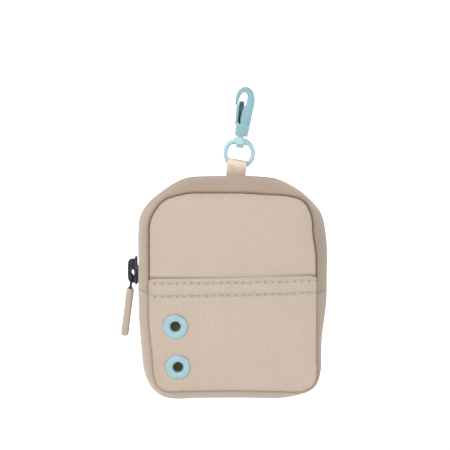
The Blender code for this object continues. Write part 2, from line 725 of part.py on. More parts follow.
attach(make_hanger_loop(), pouch_axis, webbing_fabric)
back_levels = lower_levels(HINGE_Z, 0.0) + upper_levels(HINGE_Z, 0.0)[1:]
attach(panel("back_panel", back_levels, False, 0.0, 0.0, FABRIC), pouch_axis, pouch_fabric)
lower_panel = panel("lower_front_panel", lower_levels(below_hinge, 0.0), True, 0.0, 0.0, FABRIC)
cut_for_eyelets(bake(lower_panel), BARREL_RADIUS + GAP)
attach(lower_panel, pouch_axis, pouch_fabric)
bottom_gusset = gusset_strip("bottom_gusset", below_hinge, -1, gusset_half, 0.0, FABRIC, 6)
attach(bottom_gusset, pouch_axis, gusset_fabric)
back_gusset = gusset_strip(
    "back_zip_gusset", above_hinge, 1, (strip_back, seam_depth), 0.0, FABRIC, 3
)
attach(back_gusset, pouch_axis, gusset_fabric)

lining_inset = 0.8 * MM
back_lining_levels = lower_levels(HINGE_Z, lining_inset) + upper_levels(HINGE_Z, lining_inset)[1:]
back_lining = panel("back_lining", back_lining_levels, False, lining_inward, lining_inset, LINING)
attach(back_lining, pouch_axis, lining_fabric)
lower_lining = panel(
    "lower_front_lining", lower_levels(below_hinge, lining_inset), True, lining_inward, lining_inset, LINING
)
cut_for_eyelets(bake(lower_lining), BARREL_RADIUS + GAP)
attach(lower_lining, pouch_axis, lining_fabric)
bottom_lining = gusset_strip(
    "bottom_gusset_lining", below_hinge, -1, (-lining_depth, lining_depth), lining_inward, LINING, 6
)
attach(bottom_lining, pouch_axis, lining_fabric)

tape_depths = {
    "front": (ZIP_Y - TAPE_EDGE - TAPE_WIDTH, ZIP_Y - TAPE_EDGE),
    "back": (ZIP_Y + TAPE_EDGE, ZIP_Y + TAPE_EDGE + TAPE_WIDTH),
}
teeth_depths = {
    "front": (ZIP_Y - TEETH_OUTER, ZIP_Y - TEETH_INNER),
    "back": (ZIP_Y + TEETH_INNER, ZIP_Y + TEETH_OUTER),
}
tape_gap = 0.4 * MM
lining_strips = {
    "front": (-lining_depth, tape_depths["front"][0] - tape_gap),
    "back": (tape_depths["back"][1] + tape_gap, lining_depth),
}
zip_sides = {"front": flap_axis, "back": pouch_axis}
for side, axis in zip_sides.items():
    tape = gusset_strip(
        side + "_zip_tape", above_hinge, 1, tape_depths[side], lining_inward, TAPE, 2
    )
    attach(tape, axis, tape_fabric)
    teeth = gusset_strip(
        side + "_zip_teeth", CHAIN_END_Z, 1, teeth_depths[side], -TEETH_PROUD, TEETH_THICKNESS, 1
    )
    attach(teeth, axis, nylon_coil)
    strip = gusset_strip(
        side + "_gusset_lining", above_hinge, 1, lining_strips[side], lining_inward, LINING, 2
    )
    attach(strip, axis, lining_fabric)

for name, x in (("zip_stop_left", -1), ("zip_stop_right", 1)):
    crest = HALF_WIDTH + BULGE
    edges = sorted((x * (crest + TEETH_PROUD), x * (crest + TEETH_PROUD - TEETH_THICKNESS)))
    stop_high = CHAIN_END_Z - GAP
    low = (CENTRE_X + edges[0], CENTRE_Y + ZIP_Y - TEETH_OUTER, stop_high - STOP_HEIGHT)
    high = (CENTRE_X + edges[1], CENTRE_Y + ZIP_Y + TEETH_OUTER, stop_high)
    attach(box_solid(name, low, high, pouch_frame), pouch_axis, dark_metal)

attach(seam_binding("back_binding_upper", above_hinge, 1, False), pouch_axis, tape_fabric)
attach(seam_binding("back_binding_lower", below_hinge, -1, False), pouch_axis, tape_fabric)
attach(seam_binding("front_binding_lower", below_hinge, -1, True), pouch_axis, tape_fabric)

for name, (x, z) in EYELETS.items():
    attach(make_eyelet("eyelet_" + name, eyelet_frame(x, z)), pouch_axis, eyelet_blue)
    attach(make_washer("eyelet_washer_" + name, eyelet_frame(x, z)), pouch_axis, steel)

# The upper front, which opens forwards
front_panel = panel("front_panel", upper_levels(HEM_TOP + GAP, 0.0), True, 0.0, 0.0, FABRIC)
attach(front_panel, flap_axis, pouch_fabric)
hem_levels = [above_hinge, (above_hinge + HEM_TOP) / 2, HEM_TOP]
attach(panel("hem_band", hem_levels, True, 0.0, 0.0, FABRIC), flap_axis, pouch_fabric)
front_gusset = gusset_strip(
    "front_zip_gusset", above_hinge, 1, (-seam_depth, strip_front), 0.0, FABRIC, 4
)
attach(front_gusset, flap_axis, gusset_fabric)
front_lining = panel(
    "front_lining", upper_levels(above_hinge, lining_inset), True, lining_inward, lining_inset, LINING
)
attach(front_lining, flap_axis, lining_fabric)
attach(seam_binding("front_binding_upper", above_hinge, 1, True), flap_axis, tape_fabric)

# The slider and its pull
attach(make_slider_body(), slider_axis, dark_metal)
attach(make_slider_crown(), slider_axis, dark_metal)
attach(make_pull_link(), pull_axis, dark_metal)
attach(make_pull_tab(), pull_axis, pull_rubber)
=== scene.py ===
"""A small zip pouch on a swivel snap hook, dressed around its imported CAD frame."""

import json
import math

import bmesh
import bpy
import numpy as np
from mathutils import Matrix, Vector, noise


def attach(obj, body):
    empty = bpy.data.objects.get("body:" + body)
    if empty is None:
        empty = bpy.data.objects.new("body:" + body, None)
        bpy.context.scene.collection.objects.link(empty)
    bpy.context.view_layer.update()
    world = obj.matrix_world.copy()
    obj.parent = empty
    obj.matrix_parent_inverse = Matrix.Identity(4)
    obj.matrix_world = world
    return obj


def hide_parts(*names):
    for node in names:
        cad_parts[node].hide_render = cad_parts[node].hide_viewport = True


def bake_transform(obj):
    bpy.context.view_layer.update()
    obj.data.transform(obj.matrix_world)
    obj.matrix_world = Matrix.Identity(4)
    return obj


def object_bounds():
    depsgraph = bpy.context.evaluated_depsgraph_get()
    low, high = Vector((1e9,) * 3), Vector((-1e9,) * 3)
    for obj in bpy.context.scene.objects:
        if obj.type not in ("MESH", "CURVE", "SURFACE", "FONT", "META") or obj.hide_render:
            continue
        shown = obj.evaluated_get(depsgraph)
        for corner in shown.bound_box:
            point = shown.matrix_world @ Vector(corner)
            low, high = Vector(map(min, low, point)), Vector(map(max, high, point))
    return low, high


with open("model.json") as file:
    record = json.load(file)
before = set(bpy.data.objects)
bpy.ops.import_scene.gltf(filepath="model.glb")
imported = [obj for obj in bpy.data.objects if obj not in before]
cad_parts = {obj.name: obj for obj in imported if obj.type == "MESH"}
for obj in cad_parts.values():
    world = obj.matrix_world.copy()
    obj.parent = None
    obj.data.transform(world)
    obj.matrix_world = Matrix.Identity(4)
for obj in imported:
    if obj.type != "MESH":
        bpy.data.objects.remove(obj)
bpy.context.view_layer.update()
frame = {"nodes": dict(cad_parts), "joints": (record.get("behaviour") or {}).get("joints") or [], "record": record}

MM = 0.001
TURN = 2 * math.pi

# Lengths below are in millimetres. The pouch's own frame has its origin where the hanger loop turns on
# the ring, x to the right, y from front to back and z up the pouch. The hook's frame has its origin in the
# throat.
CORNER_X = 24.0
CORNER_Z = 19.0
LOW_CORNER = 12.5
SEAM_ROLL = 1.3
SEAM_DIP = 1.0
PANEL_THICKNESS = 0.9
LINING_THICKNESS = 0.35
LINING_IN = 1.55
LINING_DEPTH = 15.2
LINING_STEP = 2.4
PANEL_STEP = 1.35
BACK_STEP = 1.6
GUSSET_STEP = 1.5
HEM_PROUD = 0.55
HEM_SLOPE = 1.4
STITCH_PITCH = 3.6
STITCH_LENGTH = 3.45
THREAD_RADIUS = 0.62
JOIN_RISE = 2.0
COIL_SINK = 0.75
CLOTH_SPACING = 2.6
CLOTH_SCALE = 10
CLOTH_FRAMES = 20
MOST_SLACK = 1.1
SLACK_SHARE = 0.4
TOOTH_PITCH = 1.25
EYELET_HOLE = 2.5
EYELET_CUT = 3.3
PULL_TILT = math.radians(7.3)

# Distances in from a seam where a sheet has its closest rows
FINE = np.array([0.0, 0.22, 0.5, 0.85, 1.3, 1.9, 2.7])

# Sums of soft local pushes: (x, z, reach, push in x, push in z), from the pouch's middle line
PULLS = [
    (42.0, -29.0, 9.0, -1.8, 0.0),
    (34.0, -12.5, 6.5, 1.6, 0.4),
    (19.0, -9.0, 9.0, 0.0, -0.9),
    (-35.0, -14.0, 6.0, -0.3, 0.9),
    (-37.0, -106.0, 6.0, -0.9, -0.6),
    (37.0, -106.0, 7.0, 1.3, -1.0),
    (0.0, -112.0, 30.0, 0.0, 0.8),
]
# The same for the back, whose top corners are rounder
BACK_PULLS = [
    (-36.0, -15.0, 13.0, 0.1, -0.1),
    (36.0, -15.0, 13.0, -0.6, -1.1),
]
# Hollows and swells of the front: (x, z, reach across, reach up, depth)
DENTS = [
    (8.0, -49.5, 26.0, 3.6, 0.55),
    (-30.0, -47.0, 9.0, 6.0, 0.45),
    (33.0, -46.0, 7.0, 9.0, 0.5),
    (-30.0, -20.0, 8.0, 6.0, 0.5),
    (27.0, -19.0, 10.0, 5.0, 0.4),
    (0.0, -33.0, 24.0, 12.0, -0.5),
    (6.0, -86.0, 26.0, 15.0, -0.6),
    (-33.0, -105.0, 9.0, 5.0, 0.5),
    (32.0, -103.0, 8.0, 8.0, 0.5),
    (16.0, -68.0, 22.0, 4.0, 0.3),
]


# Frames and sizes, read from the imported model


def axes_matrix(origin, x_axis, y_axis):
    x_axis = Vector(x_axis).normalized()
    y_axis = Vector(y_axis).normalized()
    made = Matrix((x_axis, y_axis, x_axis.cross(y_axis))).transposed().to_4x4()
    made.translation = Vector(origin)
    return made


def moved(matrix, x=0.0, y=0.0, z=0.0):
    """The frame, moved along its own axes by millimetres."""
    return matrix @ Matrix.Translation(Vector((x, y, z)) * MM)


def measured(node, matrix):
    """Lowest and highest corner of a CAD node in a local frame, in millimetres."""
    back = matrix.inverted()
    points = np.array([back @ v.co for v in frame["nodes"][node].data.vertices]) / MM
    return points.min(0), points.max(0)


joints = {joint["name"]: joint for joint in frame["joints"]}
mounts = {mount["name"]: mount for mount in frame["record"]["mounts"]}
swivel_axis = Vector(joints["ring_swivel"]["axis"])
back_axis = Vector(mounts["back_face"]["axis"])
POUCH = axes_matrix(joints["pouch_swing"]["pos_m"], (1.0, 0.0, 0.0), back_axis)
HOOK = axes_matrix((0.0, 0.0, 0.0), Vector((0.0, 1.0, 0.0)).cross(swivel_axis), (0.0, 1.0, 0.0))
PULL = axes_matrix(joints["pull_hinge"]["pos_m"], POUCH.col[0][:3], back_axis)
PULL = PULL @ Matrix.Rotation(PULL_TILT, 4, "Y")

back_low, back_high = measured("back_panel", POUCH)
gusset_low, gusset_high = measured("bottom_gusset", POUCH)
CENTRE_X = (back_low[0] + back_high[0]) / 2
CENTRE_Y = (gusset_low[1] + gusset_high[1]) / 2
HALF_WIDTH = (back_high[0] - back_low[0]) / 2
HALF_DEPTH = back_high[1] - CENTRE_Y
BOTTOM_Z = back_low[2]
TOP_Z = back_high[2]
BULGE = (gusset_high[0] - gusset_low[0]) / 2 - HALF_WIDTH
ARC = (HALF_DEPTH**2 + BULGE**2) / (2 * BULGE)
CROWN = CENTRE_Y - HALF_DEPTH - measured("lower_front_panel", POUCH)[0][1]
HINGE_Z = (POUCH.inverted() @ Vector(joints["flap_hinge"]["pos_m"])).z / MM
HEM_TOP = measured("hem_band", POUCH)[1][2]
JOIN_Z = HINGE_Z + JOIN_RISE
TAPE_FRONT = measured("front_zip_tape", POUCH)[0][1] - CENTRE_Y
TAPE_BACK = measured("back_zip_tape", POUCH)[1][1] - CENTRE_Y
teeth_front = measured("front_zip_teeth", POUCH)[0][1]
teeth_back = measured("back_zip_teeth", POUCH)[1][1]
ZIP_Y = (teeth_front + teeth_back) / 2 - CENTRE_Y
TEETH_REACH = (teeth_back - teeth_front) / 2
CHAIN_END = measured("back_zip_teeth", POUCH)[0][2]
STRIP_FRONT = measured("front_zip_gusset", POUCH)[1][1] - CENTRE_Y
STRIP_BACK = measured("back_zip_gusset", POUCH)[0][1] - CENTRE_Y
EYELETS = {}
for side in ("upper", "lower"):
    low, high = measured("eyelet_washer_" + side, POUCH)
    EYELETS[side] = ((low[0] + high[0]) / 2 - CENTRE_X, (low[2] + high[2]) / 2)


# Mesh helpers


def link(obj):
    bpy.context.scene.collection.objects.link(obj)
    return obj


def new_object(name, made):
    """An object that takes over a bmesh."""
    mesh = bpy.data.meshes.new(name)
    made.to_mesh(mesh)
    made.free()
    return link(bpy.data.objects.new(name, mesh))


def evaluated_mesh(obj):
    """A new mesh with the object's modifiers or curve settings worked in."""
    bpy.context.view_layer.update()
    graph = bpy.context.evaluated_depsgraph_get()
    return bpy.data.meshes.new_from_object(obj.evaluated_get(graph))


def coated(obj, matrix, material, sharp):
    """Puts a mesh made in millimetres in its place and gives it its material and sharp edges."""
    mesh = obj.data
    mesh.transform(matrix @ Matrix.Scale(MM, 4))
    mesh.materials.clear()
    mesh.materials.append(material)
    mesh.shade_smooth()
    mesh.set_sharp_from_angle(angle=math.radians(sharp))
    return obj


def from_bmesh(name, made, matrix, material, sharp=50):
    bmesh.ops.recalc_face_normals(made, faces=made.faces)
    return coated(new_object(name, made), matrix, material, sharp)


def cloth_mesh():
    """An empty mesh whose faces carry cloth coordinates."""
    made = bmesh.new()
    made.loops.layers.uv.new("cloth")
    return made


def quads(made, rows, uvs=None, round_rows=False, round_columns=False):
    """Faces between rows of vertices, with a cloth coordinate for each row and column."""
    for r in range(len(rows) if round_rows else len(rows) - 1):
        row, following = rows[r], rows[(r + 1) % len(rows)]
        for c in range(len(row) if round_columns else len(row) - 1):
            ahead = (c + 1) % len(row)
            face = made.faces.new((row[c], row[ahead], following[ahead], following[c]))
            if uvs is not None:
                layer = made.loops.layers.uv["cloth"]
                places = (uvs[r][c], uvs[r][c + 1], uvs[r + 1][c + 1], uvs[r + 1][c])
                for loop, place in zip(face.loops, places):
                    loop[layer].uv = place


def sheet_piece(name, sheet, thickness, material, offset=-1.0, cuts=()):
    """A fabric sheet thickened from its outer points. Its shades, 0 to 1, are painted shade that darkens the
    cloth.
    """
    points, uvs, painted_shades = sheet
    made = cloth_mesh()
    tone = made.verts.layers.float.new("painted_shade")
    rows = [[made.verts.new(point) for point in row] for row in points]
    quads(made, rows, uvs)
    for row, row_painted_shades in zip(rows, painted_shades):
        for vert, painted_shade in zip(row, row_painted_shades):
            vert[tone] = float(painted_shade)
    for centre in cuts:
        cut_round(made, centre)
    obj = new_object(name, made)
    solid = obj.modifiers.new("Thickness", "SOLIDIFY")
    solid.thickness = thickness
    solid.offset = offset
    thick = evaluated_mesh(obj)
    obj.modifiers.clear()
    obj.data = thick
    return coated(obj, POUCH, material, 60)


def cut_round(made, centre):
    """Opens a round hole for an eyelet: the nearest faces go and the rim is drawn onto a circle."""

    def within(vert, radius):
        return math.hypot(vert.co.x - centre.x, vert.co.z - centre.z) < radius

    gone = [face for face in made.faces if any(within(vert, EYELET_CUT) for vert in face.verts)]
    bmesh.ops.delete(made, geom=gone, context="FACES")
    rim = {vert for edge in made.edges if edge.is_boundary for vert in edge.verts}
    for vert in rim:
        if within(vert, EYELET_CUT + 3.0):
            across = Vector((vert.co.x - centre.x, 0.0, vert.co.z - centre.z)).normalized()
            vert.co = Vector((centre.x, vert.co.y, centre.z)) + across * EYELET_CUT


def catmull(points, steps, closed=False):
    """A smooth line through the points."""
    found = []
    count = len(points)
    for span in range(count if closed else count - 1):
        near = []
        for index in range(span - 1, span + 3):
            near.append(points[index % count] if closed else points[min(max(index, 0), count - 1)])
        a, b, c, d = [np.array(p, float) for p in near]
        for step in range(steps):
            t = step / steps
            bend = (2 * a - 5 * b + 4 * c - d) * t**2 + (3 * b - a - 3 * c + d) * t**3
            found.append(0.5 * (2 * b + (c - a) * t + bend))
    if not closed:
        found.append(np.array(points[-1], float))
    return found


def turns(count):
    """Cosine and sine at even steps round a full turn."""
    angles = [TURN * step / count for step in range(count)]
    return [(math.cos(angle), math.sin(angle)) for angle in angles]


def run_lengths(points):
    """The length of a line up to each of its points."""
    steps = np.linalg.norm(np.diff(np.array(points, float), axis=0), axis=1)
    return np.concatenate([[0.0], np.cumsum(steps)])


def sweep(made, points, radius, sides=10, closed=False, flat=1.0):
    """A tube along points. radius is a number or one for each point; flat squeezes it along its normal."""
    points = [Vector(p) for p in points]
    count = len(points)
    radii = radius if hasattr(radius, "__len__") else [radius] * count
    rings = []
    side = None
    for index, point in enumerate(points):
        before = points[index - 1] if index or closed else point
        after = points[(index + 1) % count] if index < count - 1 or closed else point
        ahead = (after - before).normalized()
        if side is None:
            side = ahead.orthogonal().normalized()
        side = (side - ahead * side.dot(ahead)).normalized()
        up = ahead.cross(side)
        ring = [point + radii[index] * (c * side * flat + s * up) for c, s in turns(sides)]
        rings.append([made.verts.new(place) for place in ring])
    lengths = list(run_lengths(points))
    around = TURN * max(radii)
    uvs = []
    for length in [*lengths, lengths[-1] + 1.0]:
        uvs.append([(length, around * step / sides) for step in range(sides + 1)])
    quads(made, rings, uvs, closed, True)
    if not closed:
        made.faces.new(rings[0])
        made.faces.new(rings[-1][::-1])


def plate(name, outlines, half, edge, matrix, material, resolution=3):
    """A flat metal part with rounded edges: outlines in the frame's x-z plane, half its thickness in y."""
    curve = bpy.data.curves.new(name, "CURVE")
    curve.dimensions = "2D"
    curve.fill_mode = "BOTH"
    curve.extrude = half - edge
    curve.bevel_depth = edge
    curve.bevel_resolution = resolution
    curve.offset = -edge
    for outline in outlines:
        spline = curve.splines.new("POLY")
        spline.points.add(len(outline) - 1)
        for point, place in zip(spline.points, outline):
            point.co = (place[0], place[1], 0.0, 1.0)
        spline.use_cyclic_u = True
    holder = link(bpy.data.objects.new(name + "_curve", curve))
    made = bmesh.new()
    made.from_mesh(evaluated_mesh(holder))
    bpy.data.objects.remove(holder)
    bmesh.ops.remove_doubles(made, verts=made.verts, dist=0.002)
    upright = Matrix.Rotation(TURN / 4, 3, "X")
    bmesh.ops.rotate(made, verts=made.verts, cent=(0, 0, 0), matrix=upright)
    return from_bmesh(name, made, matrix, material, sharp=35)


def lathe(name, profile, matrix, material, steps=56, closed=True):
    """A turned part round the frame's z axis, from (radius, height) points."""
    made = bmesh.new()
    rings = [[made.verts.new((r * c, r * s, h)) for r, h in profile] for c, s in turns(steps)]
    quads(made, rings, None, True, closed)
    bmesh.ops.remove_doubles(made, verts=made.verts, dist=0.001)
    return from_bmesh(name, made, matrix, material, sharp=40)


def join(name, objects):
    """One object from several meshes that share a material."""
    made = bmesh.new()
    material = objects[0].data.materials[0]
    for obj in objects:
        made.from_mesh(obj.data)
        bpy.data.objects.remove(obj)
    joined = new_object(name, made)
    joined.data.materials.append(material)
    return joined


# Materials


class Graph:
    """Shorthand for building one material's nodes."""

    def __init__(self, name, roughness, metallic=0.0, **sockets):
        self.material = bpy.data.materials.new(name)
        self.material.use_nodes = True
        self.tree = self.material.node_tree
        self.shader = self.tree.nodes["Principled BSDF"]
        self.fill(self.shader, {"Roughness": roughness, "Metallic": metallic})
        self.fill(self.shader, {label.replace("_", " "): value for label, value in sockets.items()})

    def fill(self, node, values):
        """Sets or links a node's inputs by their names or numbers."""
        for label, value in values.items():
            if isinstance(value, bpy.types.NodeSocket):
                self.tree.links.new(value, node.inputs[label])
            else:
                node.inputs[label].default_value = value

    def add(self, kind, values, **settings):
        """A new node of this kind, set up and filled."""
        made = self.tree.nodes.new(kind)
        for key, value in settings.items():
            setattr(made, key, value)
        self.fill(made, values)
        return made

    def math(self, operation, *values):
        return self.add("ShaderNodeMath", dict(enumerate(values)), operation=operation).outputs[0]

    def cloth(self):
        """The cloth's own coordinates in millimetres: whole vector, along, up."""
        place = self.add("ShaderNodeUVMap", {}, uv_map="cloth").outputs[0]
        split = self.add("ShaderNodeSeparateXYZ", {0: place})
        return place, split.outputs[0], split.outputs[1]

    def solid(self):
        """Object coordinates in millimetres."""
        place = self.add("ShaderNodeTexCoord", {}).outputs["Object"]
        values = {0: place, "Scale": 1 / MM}
        return self.add("ShaderNodeVectorMath", values, operation="SCALE").outputs[0]

    def noise(self, place, scale, detail=2.0, roughness=0.5):
        values = {"Vector": place, "Scale": scale, "Detail": detail, "Roughness": roughness}
        return self.add("ShaderNodeTexNoise", values).outputs[0]

    def stretch(self, *limits):
        """A value carried from one range (low, high) over to another, and kept inside it."""
        return self.add("ShaderNodeMapRange", dict(enumerate(limits))).outputs[0]

    def mix(self, factor, first, second):
        values = {0: factor}
        for number, colour in ((6, first), (7, second)):
            values[number] = (*colour, 1.0) if isinstance(colour, tuple) else colour
        return self.add("ShaderNodeMix", values, data_type="RGBA").outputs[2]

    def over(self, tone, value, low, high, strength, colour):
        """Lays a colour over the tone, more of it as the value goes from low to high."""
        return self.mix(self.stretch(value, low, high, 0.0, strength), tone, colour)

    def edges(self, tone, strength, colour):
        """Lays a colour over the surface's outward edges."""
        pointed = self.add("ShaderNodeNewGeometry", {}).outputs["Pointiness"]
        return self.over(tone, pointed, 0.52, 0.62, strength, colour)

    def wave(self, value, pitch):
        """0 to 1, once every pitch."""
        turned = self.math("MULTIPLY", value, TURN / pitch)
        return self.math("MULTIPLY_ADD", self.math("SINE", turned), 0.5, 0.5)

    def finish(self, colour, height=None, distance=0.0, roughness=None):
        self.fill(self.shader, {"Base Color": colour})
        if roughness is not None:
            self.fill(self.shader, {"Roughness": roughness})
        if height is not None:
            values = {"Distance": distance * MM, "Strength": 1.0, "Height": height}
            self.fill(self.shader, {"Normal": self.add("ShaderNodeBump", values).outputs[0]})
        return self.material


def tinted(colour, factor, lift=0.0):
    return tuple(min(1.0, c * factor + lift) for c in colour)


# Pitch and height of each weave's two sets of yarns
WEAVES = {
    "twill": (0.95, 0.75, 0.62, 0.45),
    "plain": (0.72, 0.6, 0.5, 0.4),
    "webbing": (1.3, 0.5, 0.7, 0.6),
    "ribbed": (1.15, 0.8, 0.55, 0.35),
    "smooth": (0.5, 0.35, 0.5, 0.35),
}


def fabric(name, colour, weave, contrast, depth, sheen=0.35):
    """Woven polyester."""
    graph = Graph(name, 0.85, Sheen_Weight=sheen, Sheen_Roughness=0.45, Specular_IOR_Level=0.25)
    place, along, up = graph.cloth()
    wobble = graph.math("MULTIPLY", graph.noise(place, 0.35), 0.5)
    first = graph.math("ADD", along, wobble)
    second = graph.math("ADD", up, wobble)
    if weave == "twill":
        first, second = graph.math("ADD", first, second), graph.math("SUBTRACT", first, second)
    elif weave == "webbing":
        first = graph.math("ADD", first, graph.math("MULTIPLY", graph.wave(second, 2.2), 0.5))
    warp_pitch, warp_height, weft_pitch, weft_height = WEAVES[weave]
    warp = graph.math("MULTIPLY", graph.wave(first, warp_pitch), warp_height)
    height = graph.math("MULTIPLY_ADD", graph.wave(second, weft_pitch), weft_height, warp)
    height = graph.math("MULTIPLY_ADD", graph.noise(place, 1.7, 3.0, 0.6), 0.5, height)
    clouds = graph.noise(place, 0.045, 3.0, 0.55)
    specks = graph.noise(place, 2.6, 2.0, 0.7)
    # Weave: the yarn tops are painted lighter and the valleys between them darker, painted light and shade that
    # bring out the weave's pattern.
    painted_yarn_light = tinted(colour, 1 + contrast * 0.45)
    tone = graph.over(tinted(colour, 1 - contrast), height, 0.2, 1.3, 1.0, painted_yarn_light)
    tone = graph.over(tone, clouds, 0.35, 0.65, 0.22, tinted(colour, 0.86))
    tone = graph.over(tone, specks, 0.6, 0.8, 0.25, tinted(colour, 1.15))
    # Painted shade: the cloth is painted towards this darker colour by its shade attribute, set along seams, above
    # the hem's fold, at the gusset joins and where the webbing turns over.
    painted_shade_colour = tuple(c * f for c, f in zip(colour, (0.26, 0.22, 0.19)))
    painted_shade = graph.add("ShaderNodeAttribute", {}, attribute_name="painted_shade").outputs["Fac"]
    rough = graph.stretch(specks, 0.3, 0.7, 0.74, 0.92)
    return graph.finish(graph.mix(painted_shade, tone, painted_shade_colour), height, depth, rough)


def paint(name, colour, roughness, coat=0.25):
    """Sprayed satin paint on die-cast metal, a little thinner and paler along its edges."""
    graph = Graph(name, roughness, Coat_Weight=coat, Coat_Roughness=0.22, Specular_IOR_Level=0.5)
    place = graph.solid()
    peel = graph.noise(place, 1.6)
    fine = graph.noise(place, 7.0)
    tone = graph.over(tinted(colour, 0.93), peel, 0.3, 0.7, 1.0, colour)
    tone = graph.edges(tone, 0.55, tinted(colour, 0.7, 0.3))
    tone = graph.over(tone, graph.noise(place, 0.9, 4.0, 0.7), 0.62, 0.72, 0.2, tinted(colour, 0.82))
    height = graph.math("MULTIPLY_ADD", fine, 0.3, peel)
    rough = graph.stretch(fine, 0.3, 0.7, roughness - 0.06, roughness + 0.08)
    return graph.finish(tone, height, 0.03, rough)


def metal(name, colour, roughness):
    """Plated metal with fine rub marks, and painted highlights: lighter edges and bright specks as glints, the
    specks also standing for worn plating.
    """
    graph = Graph(name, roughness, 1.0)
    place = graph.solid()
    stretched = graph.add("ShaderNodeMapping", {"Vector": place, "Scale": (6.0, 6.0, 0.6)})
    marks = graph.noise(stretched.outputs[0], 1.4, 4.0, 0.6)
    tone = graph.over(tinted(colour, 0.8), graph.noise(place, 0.6), 0.35, 0.65, 1.0, colour)
    # Painted highlights: the outward edges are painted lighter, and below, bright specks are painted as glints.
    tone = graph.edges(tone, 0.6, tinted(colour, 2.2, 0.03))
    painted_glints = graph.noise(place, 1.1, 3.0, 0.6)
    tone = graph.over(tone, painted_glints, 0.58, 0.7, 0.35, tinted(colour, 4, 0.1))
    rough = graph.stretch(marks, 0.3, 0.7, roughness - 0.08, roughness + 0.12)
    return graph.finish(tone, marks, 0.03, rough)


def moulded(name, colour, roughness, coat=0.0):
    """Moulded plastic or rubber with a fine mould grain."""
    graph = Graph(name, roughness, Coat_Weight=coat, Coat_Roughness=0.08, Specular_IOR_Level=0.55)
    place = graph.solid()
    grain = graph.noise(place, 5.0, 3.0)
    tone = graph.over(tinted(colour, 0.94), graph.noise(place, 0.35), 0.35, 0.65, 1.0, colour)
    rough = graph.stretch(grain, 0.3, 0.7, roughness - 0.05, roughness + 0.07)
    return graph.finish(tone, grain, 0.03, rough)


def thread(name, colour, painted_shade_colour):
    """Two-ply sewing thread, its twist running along the stitch and its ends painted darker, a painted shade where
    they dive into the cloth.
    """
    graph = Graph(name, 0.55, Sheen_Weight=0.4, Sheen_Roughness=0.4)
    place, along, around = graph.cloth()
    twist = graph.wave(graph.math("ADD", along, around), 0.55)
    tone = graph.over(tinted(colour, 0.62), twist, 0.0, 0.8, 1.0, colour)
    tone = graph.over(tone, graph.noise(place, 4.0), 0.5, 0.8, 0.3, tinted(colour, 0.8))
    half = STITCH_LENGTH / 2
    from_middle = graph.math("ABSOLUTE", graph.math("SUBTRACT", along, half))
    # Painted shade on each stitch's ends, where the thread dives into the cloth.
    tone = graph.over(tone, from_middle, half - 0.75, half - 0.25, 0.9, painted_shade_colour)
    return graph.finish(tone, twist, 0.12)


PANEL_CLOTH = fabric("panel_cloth", (0.585, 0.478, 0.386), "twill", 0.5, 0.24)
LOWER_CLOTH = fabric("lower_panel_cloth", (0.505, 0.413, 0.334), "plain", 0.3, 0.14)
GUSSET_CLOTH = fabric("gusset_cloth", (0.412, 0.32, 0.242), "smooth", 0.12, 0.08)
ZIP_GUSSET_CLOTH = fabric("zip_gusset_cloth", (0.38, 0.287, 0.21), "smooth", 0.14, 0.08)
LINING_CLOTH = fabric("lining_cloth", (0.13, 0.088, 0.062), "plain", 0.25, 0.08, 0.15)
BACKING_CLOTH = fabric("backing_cloth", (0.19, 0.128, 0.078), "plain", 0.2, 0.08, 0.1)
TAPE_CLOTH = fabric("tape_cloth", (0.40, 0.315, 0.245), "ribbed", 0.22, 0.12)
WEBBING_CLOTH = fabric("webbing_cloth", (0.75, 0.622, 0.505), "webbing", 0.3, 0.2)
STITCH_THREAD = thread("stitch_thread", (0.50, 0.515, 0.46), (0.2, 0.25, 0.245))
HOOK_PAINT = paint("hook_paint", (0.187, 0.35, 0.397), 0.34)
# The ring, its hub and the swivel rivet get the hook's blue made lighter: painted light, for the highlights that
# round wire catches.
RING_PAINTED_LIGHT = paint("ring_painted_light", (0.325, 0.497, 0.552), 0.3)
# A dark teal for painted shade inside the gate's channel.
GATE_PAINTED_SHADE = paint("gate_painted_shade", (0.055, 0.135, 0.155), 0.55, 0.0)
# Near black, for painted shadow in the hook's deepest hollows.
HOLLOW_PAINTED_SHADOW = paint("hollow_painted_shadow", (0.006, 0.02, 0.026), 0.7, 0.0)
EYELET_PLASTIC = moulded("eyelet_plastic", (0.262, 0.425, 0.47), 0.34, 0.3)
SLIDER_METAL = metal("slider_metal", (0.035, 0.035, 0.038), 0.3)
PIN_STEEL = metal("pin_steel", (0.42, 0.45, 0.46), 0.32)
COIL_NYLON = moulded("coil_nylon", (0.33, 0.26, 0.20), 0.42)
TAB_RUBBER = moulded("tab_rubber", (0.40, 0.318, 0.25), 0.2, 0.45)


# The pouch's shape


def smoothstep(value):
    value = min(max(float(value), 0.0), 1.0)
    return value * value * (3 - 2 * value)


def corner(side):
    """Corner radii across and up, and the seam's height, at the top (1) or the bottom (-1)."""
    if side > 0:
        return CORNER_X, CORNER_Z, TOP_Z
    return LOW_CORNER, LOW_CORNER, BOTTOM_Z


def half_width_at(z, inset=0.0):
    for side in (1, -1):
        radius_x, radius_z, far = corner(side)
        past = (z - (far - side * radius_z)) * side
        if past > 0:
            share = min(past / (radius_z - inset), 1.0)
            return HALF_WIDTH - radius_x + (radius_x - inset) * math.sqrt(1 - share**2)
    return HALF_WIDTH - inset


